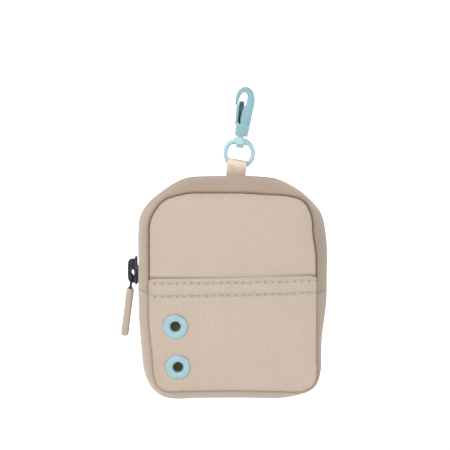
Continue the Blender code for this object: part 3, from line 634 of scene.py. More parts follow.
def arch(start_z, side, spacing):
    """Even stations (x, z, outward x, outward z, length so far) up or down the left side and round."""
    radius_x, radius_z, far = corner(side)
    turn_z = far - side * radius_z
    dense = []
    for step in range(60):
        dense.append((-HALF_WIDTH, start_z + (turn_z - start_z) * step / 60, -1.0, 0.0))
    for step in range(81):
        angle = TURN / 4 * step / 80
        out = Vector((-math.cos(angle) / radius_x, side * math.sin(angle) / radius_z)).normalized()
        x = -HALF_WIDTH + radius_x * (1 - math.cos(angle))
        dense.append((x, turn_z + side * radius_z * math.sin(angle), out.x, out.y))
    half_top = HALF_WIDTH - radius_x
    top = [(-half_top + half_top * step / 20, far, 0.0, float(side)) for step in range(1, 40)]
    right = [(-x, z, -out_x, out_z) for x, z, out_x, out_z in reversed(dense)]
    path = np.array(dense + top + right)
    lengths = run_lengths(path[:, :2])
    count = max(2, int(round(lengths[-1] / spacing)))
    wanted = np.linspace(0.0, lengths[-1], count + 1)
    columns = [np.interp(wanted, lengths, path[:, index]) for index in range(4)]
    stations = np.stack([*columns, wanted], axis=1)
    stations[:, 2:4] /= np.hypot(stations[:, 2], stations[:, 3])[:, None]
    return stations


SEAM_LINE = np.vstack([arch(HINGE_Z, 1, 0.15)[:, :2], arch(HINGE_Z, -1, 0.15)[:, :2]])


def seam_distance(x, z):
    return float(np.sqrt(((SEAM_LINE - (x, z)) ** 2).sum(1).min()))


def painted_seam_shade(edge):
    """How much the cloth is painted darker at this distance from a seam: painted shade of the groove where the
    cloth rolls in, together with the seam's own darker line.
    """
    return 0.9 * (1 - smoothstep(edge / 1.05)) + 0.1 * math.exp(-edge / 2.5)


def near(x, z, centre_x, centre_z, reach_x, reach_z):
    """1 at a centre, falling away smoothly over a reach across and a reach up."""
    return math.exp(-(((x - centre_x) / reach_x) ** 2) - ((z - centre_z) / reach_z) ** 2)


def warp(x, z, depth):
    """How far the front of the pouch is pulled out of its drawn outline at this place."""
    share = smoothstep((HALF_DEPTH - depth) / HALF_DEPTH * 0.8)
    at_front = smoothstep((8.0 - depth) / 26.0)
    move_x, move_z = 0.0, 0.0
    for pulls, weight in ((PULLS, at_front), (BACK_PULLS, 1 - at_front)):
        for centre_x, centre_z, reach, push_x, push_z in pulls:
            pull = near(x, z, centre_x, centre_z, reach, reach) * weight
            move_x += push_x * pull
            move_z += push_z * pull
    lower_left = smoothstep((HINGE_Z - 6.5 - z) / 36) * smoothstep((-x - 30) / 12)
    return move_x + 2.4 * lower_left * share, move_z


def bulge_share(x, z):
    """How full the gusset is: flatter low on the right and round the top corners, fuller along the bottom."""
    low_right = smoothstep((HINGE_Z - 1.0 - z) / 26) * smoothstep((x - 20) / 20)
    top_corners = near(x, z, -34, -15, 11, 11) + near(x, z, 35, -16, 14, 14)
    under = smoothstep((BOTTOM_Z + 6 - z) / 6) * (1 - smoothstep((abs(x) - 26) / 14))
    return 1 - 0.52 * low_right - 0.5 * top_corners + 0.16 * under


def ripple(x, z, scale, seed):
    return noise.noise(Vector((x * scale, z * scale, seed)))


def wall_point(station, depth, inward=0.0, seams=True):
    """A point on the gusset. depth counts from the pouch's middle, inward from the outer surface."""
    x, z, out_x, out_z, along = station
    angle = math.asin(max(-1.0, min(1.0, depth / ARC)))
    out = (ARC - inward) * math.cos(angle) - (ARC - BULGE)
    edge = HALF_DEPTH - abs(depth)
    share = bulge_share(x, z)
    share += (1 - share) * (1 - smoothstep((edge - 1.0) / 4.0))
    out = (out + inward) * share - inward
    if seams:
        out -= SEAM_DIP * (1 - smoothstep(edge / SEAM_ROLL))
        pucker = math.sin(along * 1.15 + 2.0 * ripple(x, z, 0.05, 3))
        out += 0.07 * pucker * math.exp(-(((edge - 2.0) / 2.4) ** 2))
        out += 0.35 * ripple(along, depth, 0.045, 7.0) * smoothstep(edge / 6)
    depth_in = (ARC - inward) * math.sin(angle)
    move_x, move_z = warp(x, z, depth)
    return Vector((CENTRE_X + x + out * out_x + move_x, CENTRE_Y + depth_in, z + out * out_z + move_z))


def face_depth(x, z, front):
    """How far the smooth front or back face stands from the pouch's middle."""
    middle = (TOP_Z + BOTTOM_Z) / 2
    half_height = (TOP_Z - BOTTOM_Z) / 2
    across = max(1 - (x / HALF_WIDTH) ** 2, 0.0)
    upward = max(1 - ((z - middle) / half_height) ** 2, 0.0)
    if not front:
        return HALF_DEPTH + 0.25 * across * upward
    return -HALF_DEPTH - CROWN * across * upward


def off_eyelets(x, z):
    """0 at an eyelet, rising to 1 away from it."""
    far = min(math.hypot(x - place[0], z - place[1]) for place in EYELETS.values())
    return 1 - math.exp(-(max(far - 6.5, 0.0) ** 2) / 30.0)


def panel_point(x, z, front, offset=0.0, seams=True, field=None):
    """A point on the front or back panel, offset inwards from its outer face."""
    sign = 1 if front else -1
    y = face_depth(x, z, front)
    if seams:
        edge = seam_distance(x, z)
        calm = off_eyelets(x, z)
        if front:
            hollow = sum(depth * near(x, z, *place) for *place, depth in DENTS)
            y += hollow * calm * smoothstep(edge / 5)
        roll = max(0.0, 1 - edge / SEAM_ROLL)
        y += sign * SEAM_ROLL * (1 - math.sqrt(max(0.0, 1 - roll**2)))
        pucker = math.exp(-(((edge - 2.2) / 2.2) ** 2))
        y += sign * 0.06 * pucker * math.sin((x + z) * 1.1 + 3 * ripple(x, z, 0.06, 1.0))
        y += sign * 0.25 * ripple(x, z, 0.05, 5.0) * smoothstep(edge / 6)
        if field is not None:
            y += field(x, z) * calm * smoothstep((edge - 0.5) / 8)
    move_x, move_z = warp(x, z, y)
    return Vector((CENTRE_X + x + move_x, CENTRE_Y + y + sign * offset, z + move_z))


def across_places(half, step):
    """Places across a panel, closer together next to the seams. Their number stays the same in every row."""
    count = int(round(2 * HALF_WIDTH / step)) - 4
    fine = FINE * min(1.0, half / 8)
    inner = np.linspace(-half + fine[-1], half - fine[-1], count)[1:-1]
    return np.concatenate([-half + fine, inner, (half - fine)[::-1]])


def heights(low, high, step):
    """Heights of a panel's rows, closer together near a seam and round the corners."""
    found = []
    if low <= BOTTOM_Z:
        found += list(BOTTOM_Z + FINE)
        found += [BOTTOM_Z + LOW_CORNER * (1 - math.sin(a)) for a in np.linspace(0, TURN / 4, 16)[1:]]
        low = BOTTOM_Z + LOW_CORNER
    if high >= TOP_Z:
        found += list(TOP_Z - FINE)
        found += [TOP_Z - CORNER_Z * (1 - math.sin(a)) for a in np.linspace(0, TURN / 4, 22)[1:]]
        high = TOP_Z - CORNER_Z
    found += list(np.linspace(low, high, max(2, int(round((high - low) / step)) + 1)))
    found = sorted(h for h in found if h >= min(low, BOTTOM_Z) - 1e-6)
    kept = [found[0]]
    for height in found[1:]:
        if height - kept[-1] > 0.18:
            kept.append(height)
    kept[-1] = found[-1]
    return kept


def sheet_grid(rows, columns, place):
    """A sheet's points, cloth coordinates and shades, row by row, from place(row, column)."""
    table = [[place(row, column) for column in columns(row)] for row in rows]
    return [[[entry[part] for entry in row] for row in table] for part in range(3)]


def flipped(sheet):
    """The same sheet, facing the other way."""
    return [[row[::-1] for row in part] for part in sheet]


def panel_sheet(low, high, front, offset=0.0, inset=0.0, seams=True, field=None, step=PANEL_STEP, extra=None):
    """Part of the front or back panel. extra gives one more push for each place."""

    def place(z, x):
        point = panel_point(x, z, front, offset, seams, field)
        if extra is not None:
            point += extra(x, z)
        return point, (x, z), painted_seam_shade(seam_distance(x, z)) if seams else 0.0

    levels = [min(max(z, BOTTOM_Z + inset), TOP_Z - inset) for z in heights(low, high, step)]
    sheet = sheet_grid(levels, lambda z: across_places(max(half_width_at(z, inset), 1.0), step), place)
    return sheet if front else flipped(sheet)


def strip_sheet(side, depths, inward=0.0, seams=True, spacing=GUSSET_STEP):
    """A strip of the wall over the top (1) or round the bottom (-1), from one joining seam to the other."""
    stations = arch(JOIN_Z, side, spacing)

    def place(station, depth):
        painted_shade = 0.0
        if seams:
            painted_shade = painted_seam_shade(HALF_DEPTH - abs(depth))
            if side > 0:
                # Painted shade along the joins of the zip strips with the bottom strip, where the seam puckers.
                from_end = min(station[4], stations[-1][4] - station[4])
                painted_shade = max(painted_shade, 0.5 * math.exp(-((from_end / 0.7) ** 2)))
        return wall_point(station, depth, inward, seams), (station[4], depth), painted_shade

    sheet = sheet_grid(stations, lambda station: depths, place)
    return flipped(sheet) if side > 0 else sheet


def across_strip(low, high, step=1.4):
    """Depths across a gusset strip, closer together at an edge that is a seam."""
    places = list(np.linspace(low, high, max(3, int(round((high - low) / step)) + 1)))
    for sign, end in ((1, low), (-1, high)):
        if HALF_DEPTH - abs(end) < 1.0:
            places = [p for p in places if abs(p - end) > FINE[-1] + 0.4]
            places += [end + sign * fine for fine in FINE]
    return sorted(places)


# Cloth simulation


def settle(front):
    """Lets one face of the pouch find its own slack as cloth, held along its seams.

    What it gives back says how far the face moves at each place."""
    rows = np.linspace(BOTTOM_Z, TOP_Z, int((TOP_Z - BOTTOM_Z) / CLOTH_SPACING) + 1)
    shares = np.linspace(-1, 1, 33)
    wide = len(shares)
    made = bmesh.new()
    corners = []
    for z in rows:
        z_in = min(max(z, BOTTOM_Z + 0.3), TOP_Z - 0.3)
        half = half_width_at(z_in)
        points = [panel_point(share * half, z_in, front, seams=False) for share in shares]
        corners.append([made.verts.new(point) for point in points])
    quads(made, corners)
    if not front:
        bmesh.ops.reverse_faces(made, faces=made.faces)
    obj = new_object("settling", made)
    obj.data.transform(Matrix.Scale(MM * CLOTH_SCALE, 4))
    rest = np.array([v.co for v in obj.data.vertices])
    held = obj.vertex_groups.new(name="held")
    for index in range(len(rest)):
        row, column = divmod(index, wide)
        grip = 1.0
        if 0 < row < len(rows) - 1 and 0 < column < wide - 1:
            x = shares[column] * half_width_at(float(rows[row]))
            grip = 1 - off_eyelets(x, rows[row]) if front else 0.0
        held.add([index], grip, "REPLACE")
    cloth = obj.modifiers.new("Cloth", "CLOTH")
    settings = cloth.settings
    settings.quality = 6
    settings.mass = 0.2
    settings.tension_stiffness = 12
    settings.compression_stiffness = 12
    settings.shear_stiffness = 5
    settings.bending_stiffness = 0.6
    settings.use_pressure = True
    settings.uniform_pressure_force = 1.5
    settings.shrink_min = -0.012
    settings.vertex_group_mass = "held"
    settings.effector_weights.gravity = 0.0
    cloth.collision_settings.use_collision = False
    scene = bpy.context.scene
    for number in range(1, CLOTH_FRAMES + 1):
        scene.frame_set(number)
    graph = bpy.context.evaluated_depsgraph_get()
    settled = np.array([v.co for v in obj.evaluated_get(graph).data.vertices])
    scene.frame_set(1)
    bpy.data.objects.remove(obj)
    shift = (settled[:, 1] - rest[:, 1]) / (MM * CLOTH_SCALE)
    table = (MOST_SLACK * np.tanh(SLACK_SHARE * shift / MOST_SLACK)).reshape(len(rows), wide)

    def field(x, z):
        row = np.clip((z - rows[0]) / (rows[-1] - rows[0]), 0, 1) * (len(rows) - 1)
        column = np.clip((x / max(half_width_at(z), 1.0) + 1) / 2, 0, 1) * (wide - 1)
        r, c = int(min(row, len(rows) - 2)), int(min(column, wide - 2))
        up, across = row - r, column - c
        lower, upper = table[r : r + 2, c] * (1 - across) + table[r : r + 2, c + 1] * across
        return float(lower * (1 - up) + upper * up)

    return field


FOLD = "fold"


def dress(obj, body, slot, *nodes):
    """Gives a piece its body and the CAD nodes that it stands for; slot, its finish, is not used.

    A piece on the fold has its place baked into its mesh and is given no body."""
    if nodes:
        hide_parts(*nodes)
    if body == FOLD:
        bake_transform(obj)
    else:
        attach(obj, body)


front_field = settle(True)
back_field = settle(False)


# Front: the upper panel, and the lower panel with its lapped hem


def hem_at(x):
    """Height of the hem's fold, which rises a little to the right."""
    return HEM_TOP + HEM_SLOPE * (x / (2 * HALF_WIDTH))


def lap(x, z):
    """The hem stands proud of the upper panel and rolls back in at its fold."""
    below = HEM_TOP - z
    rising = smoothstep((9.5 - below) / 9.0)
    inboard = smoothstep((HALF_WIDTH - abs(x)) / 4.5)
    roll = max(0.0, 1 - below / 0.9)
    return -HEM_PROUD * rising * inboard + 0.9 * (1 - math.sqrt(max(0.0, 1 - roll**2)))


def hem_push(x, z):
    """The lap, with its rows slanted to follow the fold."""
    return Vector((0.0, lap(x, z), (hem_at(x) - HEM_TOP) * smoothstep(1 - (HEM_TOP - z) / 14)))


upper = panel_sheet(
    HEM_TOP - 3.2, TOP_Z, True, field=front_field, extra=lambda x, z: Vector((0.0, 0.25, 0.0))
)
# Painted shadow: the upper panel is painted darker just above the hem's fold, where the proud hem casts its
# shadow.
for places, painted_shades in zip(*upper[1:]):
    for index, (x, z) in enumerate(places):
        over = max(z - hem_at(x), 0.0)
        painted_shades[index] = max(painted_shades[index], 0.75 * math.exp(-((over / 0.45) ** 2)))
dress(sheet_piece("upper_front", upper, PANEL_THICKNESS, PANEL_CLOTH), FOLD, "panel_fabric", "front_panel")

holes = [panel_point(*place, True) for place in EYELETS.values()]
lower = panel_sheet(BOTTOM_Z, HEM_TOP, True, field=front_field, extra=hem_push)
lower_front = sheet_piece("lower_front", lower, PANEL_THICKNESS, LOWER_CLOTH, cuts=holes)
dress(lower_front, FOLD, "panel_fabric", "lower_front_panel", "hem_band")

back = panel_sheet(BOTTOM_Z, TOP_Z, False, field=back_field, step=BACK_STEP)
back_panel = sheet_piece("back_face", back, PANEL_THICKNESS, LOWER_CLOTH)
dress(back_panel, "pouch", "panel_fabric", "back_panel")


# Gusset: one strip round the bottom, and a strip either side of the zip over the top


def gusset_strip(name, side, low, high, cloth, body, node):
    strip = strip_sheet(side, across_strip(low, high))
    dress(sheet_piece(name, strip, PANEL_THICKNESS, cloth), body, "gusset_fabric", node)


gusset_strip("bottom_strip", -1, -HALF_DEPTH, HALF_DEPTH, GUSSET_CLOTH, "pouch", "bottom_gusset")
gusset_strip("front_strip", 1, -HALF_DEPTH, STRIP_FRONT, ZIP_GUSSET_CLOTH, FOLD, "front_zip_gusset")
gusset_strip("back_strip", 1, STRIP_BACK, HALF_DEPTH, ZIP_GUSSET_CLOTH, "pouch", "back_zip_gusset")


# Topstitching along the hem, sewn through both layers


def stitch_row(name, drop_left, drop_right):
    """A row of long stitches below the hem's fold, each end pulled down into the cloth."""
    made = cloth_mesh()
    count = int(round(2 * (HALF_WIDTH - 0.4) / STITCH_PITCH))
    first = -count * STITCH_PITCH / 2 + (STITCH_PITCH - STITCH_LENGTH) / 2
    for index in range(count):
        path, radii = [], []
        for share in np.linspace(0, 1, 9):
            x = float(first + index * STITCH_PITCH + STITCH_LENGTH * share)
            z = HEM_TOP - drop_left - (drop_right - drop_left) * (x / HALF_WIDTH + 1) / 2
            ends = float(2 * share - 1) ** 4
            point = panel_point(x, z, True, field=front_field)
            point.y += lap(x, z) + 0.75 * ends - 0.22
            path.append(point)
            radii.append(THREAD_RADIUS * (1 - 0.35 * ends))
        sweep(made, path, radii, 8, flat=0.85)
    dress(from_bmesh(name, made, POUCH, STITCH_THREAD), FOLD, "panel_fabric")


stitch_row("hem_stitches_upper", 3.1, 1.9)
stitch_row("hem_stitches_lower", 9.9, 7.9)


# The zip: tapes, coil teeth and stops


def tape_piece(name, low, high, body, node):
    tape = strip_sheet(1, np.linspace(low, high, 6), 1.5, False)
    dress(sheet_piece(name, tape, 0.5, TAPE_CLOTH), body, "tape_fabric", node)


tape_piece("zip_tape_front", TAPE_FRONT, ZIP_Y - 0.5, FOLD, "front_zip_tape")
tape_piece("zip_tape_back", ZIP_Y + 0.5, TAPE_BACK, "pouch", "back_zip_tape")

# A tooth's filament, from its heel to its head and back: (share of the way, lift, slip along, radius)
TOOTH = [
    (0.0, -0.95, 0.3, 0.36),
    (0.55, -0.98, 0.28, 0.38),
    (0.95, -0.7, 0.2, 0.44),
    (1.0, -0.3, 0.0, 0.5),
    (0.95, 0.05, -0.15, 0.46),
    (0.6, 0.18, -0.25, 0.4),
    (0.1, 0.1, -0.3, 0.38),
    (0.0, -0.25, -0.3, 0.36),
]


def teeth_piece(name, side, first, body, node):
    """One side's coil: a loop of thick filament for each tooth, its head reaching past the zip's middle."""
    made = cloth_mesh()
    head = ZIP_Y - side * 0.55
    heel = ZIP_Y + side * TEETH_REACH
    for station in arch(CHAIN_END, 1, TOOTH_PITCH)[first::2]:
        out = Vector((station[2], 0.0, station[3]))
        ahead = Vector((-station[3], 0.0, station[2]))
        path = []
        for share, lift, slip, _ in TOOTH:
            base = wall_point(station, heel + (head - heel) * share, 0.0, False)
            path.append(base + out * (lift - COIL_SINK) + ahead * slip)
        sweep(made, path, [radius for *_, radius in TOOTH], 7)
    dress(from_bmesh(name, made, POUCH, COIL_NYLON), body, "zip_coil", node)


teeth_piece("zip_coil_front", -1, 0, FOLD, "front_zip_teeth")
teeth_piece("zip_coil_back", 1, 1, "pouch", "back_zip_teeth")

for side, sign in (("left", -1), ("right", 1)):
    low, high = measured("zip_stop_" + side, POUCH)
    half_out, wide, _ = (high - low) / 2
    staple = [(-0.4, 0.5 - wide), (0.5, 0.3 - wide), (0.8, -0.5 * wide), (0.85, 0.5 * wide)]
    staple += [(0.5, wide - 0.3), (-0.4, wide - 0.5)]
    made = cloth_mesh()
    sweep(made, catmull([(sign * half_out * out, y, 0) for out, y in staple], 4), 0.65)
    place = moved(moved(POUCH, *((low + high) / 2)), -sign * (COIL_SINK + 0.45))
    stop = from_bmesh("zip_end_" + side, made, place, SLIDER_METAL)
    dress(stop, "pouch", "dark_metal", "zip_stop_" + side)


# Lining and bound seams inside


def lining_panel(name, low, high, front, body, node, cuts=()):
    def crumple(x, z):
        calm = off_eyelets(x, z) if front else -1.0
        return Vector((0.0, 0.25 * abs(ripple(x, z, 0.09, 11.0)) * calm, 0.0))

    sheet = panel_sheet(low, high, front, LINING_IN, 0.9, False, None, LINING_STEP, crumple)
    dress(sheet_piece(name, sheet, LINING_THICKNESS, LINING_CLOTH, cuts=cuts), body, "lining_fabric", node)


def lining_strip(name, side, low, high, body, node):
    sheet = strip_sheet(side, np.linspace(low, high, 8), LINING_IN, False, LINING_STEP)
    dress(sheet_piece(name, sheet, LINING_THICKNESS, LINING_CLOTH), body, "lining_fabric", node)


lining_holes = [panel_point(*place, True, LINING_IN, False) for place in EYELETS.values()]
lining_panel("lining_back", BOTTOM_Z, TOP_Z, False, "pouch", "back_lining")
lining_panel("lining_front_low", BOTTOM_Z, JOIN_Z, True, "pouch", "lower_front_lining", lining_holes)
lining_panel("lining_front_high", JOIN_Z, TOP_Z, True, FOLD, "front_lining")
lining_strip("lining_bottom", -1, -LINING_DEPTH, LINING_DEPTH, "pouch", "bottom_gusset_lining")
lining_strip("lining_zip_back", 1, TAPE_BACK + 0.4, LINING_DEPTH, "pouch", "back_gusset_lining")
lining_strip("lining_zip_front", 1, -LINING_DEPTH, TAPE_FRONT - 0.4, FOLD, "front_gusset_lining")


def backing_place(z, x):
    """A plain cloth just behind the eyelets, seen through their holes."""
    point = panel_point(x, z, True, 4.6, False)
    point.y += 0.5 * ripple(x, z, 0.1, 2.0)
    return point, (x, z), 0.0


backing = sheet_grid(np.linspace(-106.0, -69.0, 20), lambda z: np.linspace(-37.0, -18.5, 12), backing_place)
eyelet_backing = sheet_piece("eyelet_backing", backing, LINING_THICKNESS, BACKING_CLOTH)
dress(eyelet_backing, "pouch", "lining_fabric")


def bound_seam(name, side, depth, body, node):
    """Folded binding tape over the raw edges of a seam, with a slight ripple."""
    made = cloth_mesh()
    path = []
    for x, z, out_x, out_z, along in arch(JOIN_Z, side, 1.6):
        inset = 2.5 + 0.12 * math.sin(along * 0.9)
        move_x, move_z = warp(x, z, depth)
        path.append((CENTRE_X + x - inset * out_x + move_x, CENTRE_Y + depth, z - inset * out_z + move_z))
    sweep(made, path, 0.8)
    dress(from_bmesh(name, made, POUCH, TAPE_CLOTH), body, "tape_fabric", node)


bound_seam("bound_seam_back_high", 1, 14.2, "pouch", "back_binding_upper")
bound_seam("bound_seam_back_low", -1, 14.2, "pouch", "back_binding_lower")
bound_seam("bound_seam_front_low", -1, -14.2, "pouch", "front_binding_lower")
bound_seam("bound_seam_front_high", 1, -14.2, FOLD, "front_binding_upper")


# Eyelets


def eyelet_frame(x, z):
    """A frame on the front whose z axis points straight out of the cloth."""
    step = 0.5
    slope_x = face_depth(x + step, z, True) - face_depth(x - step, z, True)
    slope_z = face_depth(x, z + step, True) - face_depth(x, z - step, True)
    out = Vector((slope_x / (2 * step), -1.0, slope_z / (2 * step)))
    turned = out.to_track_quat("Z", "Y").to_matrix().to_4x4()
    return moved(POUCH, *panel_point(x, z, True, seams=False)) @ turned


low, high = measured("eyelet_upper", POUCH)
outer = (high[0] - low[0]) / 2
rim = [(outer - 0.35, -0.02), (outer, 0.2), (outer - 0.12, 0.6), (outer - 0.75, 1.05), (outer - 1.6, 1.28)]
for reach, height in ((1.1, 1.25), (0.42, 0.98), (0.08, 0.45), (0.0, -0.4), (0.0, -2.9)):
    rim.append((EYELET_HOLE + reach, height))
profile = catmull(rim, 4) + [(EYELET_HOLE + 0.6, -2.9), (EYELET_HOLE + 0.6, -0.1)]
for side, place in EYELETS.items():
    ring = lathe("eyelet_" + side + "_ring", profile, eyelet_frame(*place), EYELET_PLASTIC)
    dress(ring, "pouch", "eyelet_plastic", "eyelet_" + side)


# The webbing loop that the pouch hangs by

LOOP = POUCH @ Matrix.Rotation(math.atan2(-HOOK.col[0].z, HOOK.col[0].x), 4, "Y")
WEB_WIDTH = measured("hanger_loop", LOOP)[1][0] * 2
WEB_THICKNESS = 0.85
LOOP_SHIFT = -0.7
foot = measured("hanger_loop", POUCH)[0][2] - 0.9
side_path = [(-1.0, foot), (-1.55, -4.3), (-2.15, -2.7), (-2.6, -1.3), (-2.78, 0.0), (-2.35, 1.25)]
side_path += [(-1.25, 1.95), (0.0, 2.12), (1.25, 1.95), (2.35, 1.25), (2.78, 0.0), (2.5, -1.5), (1.9, -2.9)]
side_path += [(1.15, -4.6), (0.6, foot)]
line = catmull(side_path, 7)


def web_place(station, share):
    """A point on the webbing, which slants a little across the ring and is painted darker where it turns over:
    painted shade.
    """
    (y, z), along = station
    x = share * WEB_WIDTH / 2
    slant = -0.35 * share * smoothstep((z + 3.5) / 5)
    point = Vector((x + LOOP_SHIFT + 0.06 * math.sin(along * 2.2), y, z + slant))
    return point, (x, along), 0.4 * smoothstep((z - 1.6) / 0.5)


web = sheet_grid(list(zip(line, run_lengths(line))), lambda station: np.linspace(-1, 1, 15), web_place)
loop_piece = sheet_piece("webbing_loop", web, WEB_THICKNESS, WEBBING_CLOTH, offset=0.0)
loop_piece.data.transform(LOOP @ POUCH.inverted())
dress(loop_piece, "pouch", "webbing", "hanger_loop")


# The snap hook


def hook_plate(name, outline, half, edge, y=0.0, material=HOOK_PAINT, resolution=3):
    """A flat part of the hook, in the hook's frame or that far behind its middle."""
    return plate(name, [outline], half, edge, moved(HOOK, y=y), material, resolution)


outer = [(-4.05, -6.8), (-4.15, -5.0), (-4.12, -3.0), (-3.6, -0.7), (-2.4, 1.3), (-0.4, 2.45), (2.0, 2.3)]
outer += [(4.05, 0.75), (5.2, -1.9), (5.5, -4.8), (5.3, -7.2), (4.9, -9.6), (4.2, -16.2), (3.75, -19.0)]
inner = [(-0.8, -19.0), (-0.88, -16.0), (-0.85, -13.5), (-0.55, -11.3), (-0.1, -9.8), (0.55, -7.7)]
inner += [(1.5, -5.4), (1.65, -2.2), (1.25, -0.7), (0.5, -0.2), (-0.4, -0.35), (-1.3, -1.2), (-2.0, -2.5)]
inner += [(-2.55, -4.0), (-2.95, -5.4), (-3.0, -6.8)]
bow_outline = catmull(outer, 6) + catmull(inner, 6)
bow = plate("bow", [bow_outline], 1.45, 0.75, Matrix.Identity(4), HOOK_PAINT, 4)
for vert in bow.data.vertices:
    vert.co.y *= 1 + 0.55 * smoothstep((-14.3 - vert.co.z / MM) / 2.6)
bow.data.transform(HOOK)
block_outline = [(-3.0, -16.3), (-3.0, -21.4), (-2.2, -22.25), (3.1, -22.25), (3.5, -21.7), (4.1, -17.0)]
block = hook_plate("block", [*block_outline, (3.9, -16.3)], 2.3, 0.7, resolution=4)
dress(join("hook_casting", [bow, block]), "hook", "hook_paint", "hook_body")

web_outline = [(-3.45, -16.2), (-3.45, -7.4), (-2.75, -6.6), (-2.45, -4.5), (-1.5, -4.5), (-2.05, -7.4)]
gate_web = hook_plate("gate_web", [*web_outline, (-2.05, -16.2)], 2.3, 0.35)
front_cheek = [(-2.45, -5.0), (-2.1, -4.5), (-0.3, -4.5), (0.3, -4.8), (0.5, -5.3), (0.45, -5.6), (0.0, -5.2)]
cheek = hook_plate("gate_cheek", [*front_cheek, (-2.2, -5.2)], 0.2, 0.1, -1.92, resolution=2)
rear_cheek = [(-3.1, -7.5), (-2.5, -6.8), (-2.2, -4.6), (-0.1, -4.6), (0.5, -5.2), (0.5, -7.6)]
rear_cheek += [(-0.1, -9.4), (-0.62, -11.5), (-0.9, -15.4), (-3.1, -15.4)]
gate_back = hook_plate("gate_back", rear_cheek, 0.2, 0.1, 2.0, resolution=2)
dress(join("gate_channel", [gate_web, cheek, gate_back]), "gate", "hook_paint", "hook_gate")
# Painted shade: a thin dark plate in front of the rear cheek stands for the shade inside the gate's channel.
liner_outline = [(-2.2, -15.7), (-2.2, -4.8), (-0.2, -4.8), (0.3, -5.4), (0.25, -7.4), (-0.62, -11.5)]
liner_outline += [(-0.95, -14.6), (-1.2, -15.7)]
dress(hook_plate("gate_hollow_painted_shade", liner_outline, 0.06, 0.02, 1.72, GATE_PAINTED_SHADE, 1), "gate", "hook_paint")
# Painted shadow: a near-black plate deeper in the channel, and the hinge knuckle below, stand for the deep shadow
# there.
deep_outline = [(-1.9, -15.7), (-1.9, -9.6), (-0.75, -9.6), (-0.6, -11.5), (-0.95, -14.6), (-1.2, -15.7)]
dress(hook_plate("gate_deep_hollow_painted_shadow", deep_outline, 0.05, 0.015, 1.58, HOLLOW_PAINTED_SHADOW, 1), "gate", "hook_paint")
knuckle = [(-1.68, -16.5), (-1.68, -15.8), (-1.45, -15.2), (-1.3, -14.8), (-0.5, -14.7), (-0.5, -16.5)]
dress(hook_plate("hinge_knuckle", knuckle, 1.25, 0.15, 0.0, HOLLOW_PAINTED_SHADOW, 2), "hook", "hook_paint")

for node, pin_x, pin_z in (("gate_pin", -2.0, -17.4), ("spring_rivet", -1.9, -20.2)):
    reach = measured(node, HOOK)[1][1] + 0.12
    dome = [(0.01, reach), (0.3, reach - 0.02), (0.5, reach - 0.1), (0.58, reach - 0.3)]
    dome += [(radius, -height) for radius, height in reversed(dome)]
    place = moved(HOOK, pin_x, 0.0, pin_z) @ Matrix.Rotation(TURN / 4, 4, "X")
    dress(lathe(node + "_head", dome, place, HOOK_PAINT, 24, False), "hook", "steel", node)

WIRE = 1.12
WIRE_STEPS = 72
ring_low, ring_high = measured("swivel_ring", HOOK)
ring_radius = (ring_high[0] - ring_low[0]) / 2 - WIRE
ring_z = ring_low[2] + WIRE + ring_radius
circle, thick = [], []
for step, (upward, across) in enumerate(turns(WIRE_STEPS)):
    flat_top = 0.9 * max(0.0, upward) ** 6
    circle.append((ring_radius * across, 0.0, ring_z + ring_radius * upward - flat_top))
    thick.append(WIRE + 0.5 * math.exp(-((min(step, WIRE_STEPS - step) / 7.0) ** 2)))
made = cloth_mesh()
sweep(made, circle, thick, 16, closed=True)
ring_wire = from_bmesh("ring_wire", made, HOOK, RING_PAINTED_LIGHT)
hub_top = ring_high[2]
hub_low = hub_top - 3.7
hub_profile = [(1.6, hub_top), (2.3, hub_top), (2.7, hub_top - 0.12), (2.85, hub_top - 0.45)]
hub_profile += [(2.85, hub_low + 0.45), (2.7, hub_low + 0.12), (2.3, hub_low), (1.6, hub_low)]
hub = lathe("hub", hub_profile, HOOK, RING_PAINTED_LIGHT)
dress(join("ring_and_hub", [ring_wire, hub]), "ring", "hook_paint", "swivel_ring")

post_low, post_high = measured("swivel_post", HOOK)
head = post_low[2]
post_profile = [(0.01, post_high[2]), (1.45, post_high[2]), (1.45, head + 1.25), (2.0, head + 1.15)]
post_profile += [(2.18, head + 0.85), (2.05, head + 0.45), (1.6, head + 0.12), (1.0, head), (0.01, head)]
dress(lathe("swivel_rivet", post_profile, HOOK, RING_PAINTED_LIGHT), "hook", "hook_paint", "swivel_post")

# The gate spring is coloured near black as painted shadow, for the deep shade it sits in.
for node, material in (
    ("gate_spring", HOLLOW_PAINTED_SHADOW),
    ("eyelet_washer_upper", PIN_STEEL),
    ("eyelet_washer_lower", PIN_STEEL),
):
    frame["nodes"][node].data.materials[0] = material


# The slider, its crown and the pull

body_low, body_high = measured("slider_body", POUCH)
slide_y = (body_low[1] + body_high[1]) / 2
half_body = (body_high[1] - body_low[1]) / 2
low, high = body_low[2], body_high[2]
crest_x = -HALF_WIDTH - BULGE + CENTRE_X
SIDE_ON = moved(POUCH, crest_x, slide_y) @ Matrix.Rotation(-TURN / 4, 4, "Z")
shoulder = [(half_body - 1.1, low), (half_body - 0.25, low + 0.35), (half_body, low + 1.2)]
shoulder += [(half_body, low + 5.6), (half_body * 0.88, low + 8.4), (half_body * 0.66, high - 2.4)]
shoulder += [(half_body * 0.45, high - 0.6), (half_body * 0.2, high)]
half_outline = catmull(shoulder, 4)
top_outline = half_outline + [(-x, z) for x, z in reversed(half_outline)]
under_outline = [(x * 0.86, (z - low) * 0.92 + low + 0.6) for x, z in top_outline]
wing_outline = [(0, low + 0.9), (0.55, low + 0.9), (0.55, high - 5.0), (0, high - 5.0)]
post_outline = [(-0.45, low + 0.8), (0.45, low + 0.8), (0.45, low + 4.0), (-0.45, low + 4.0)]
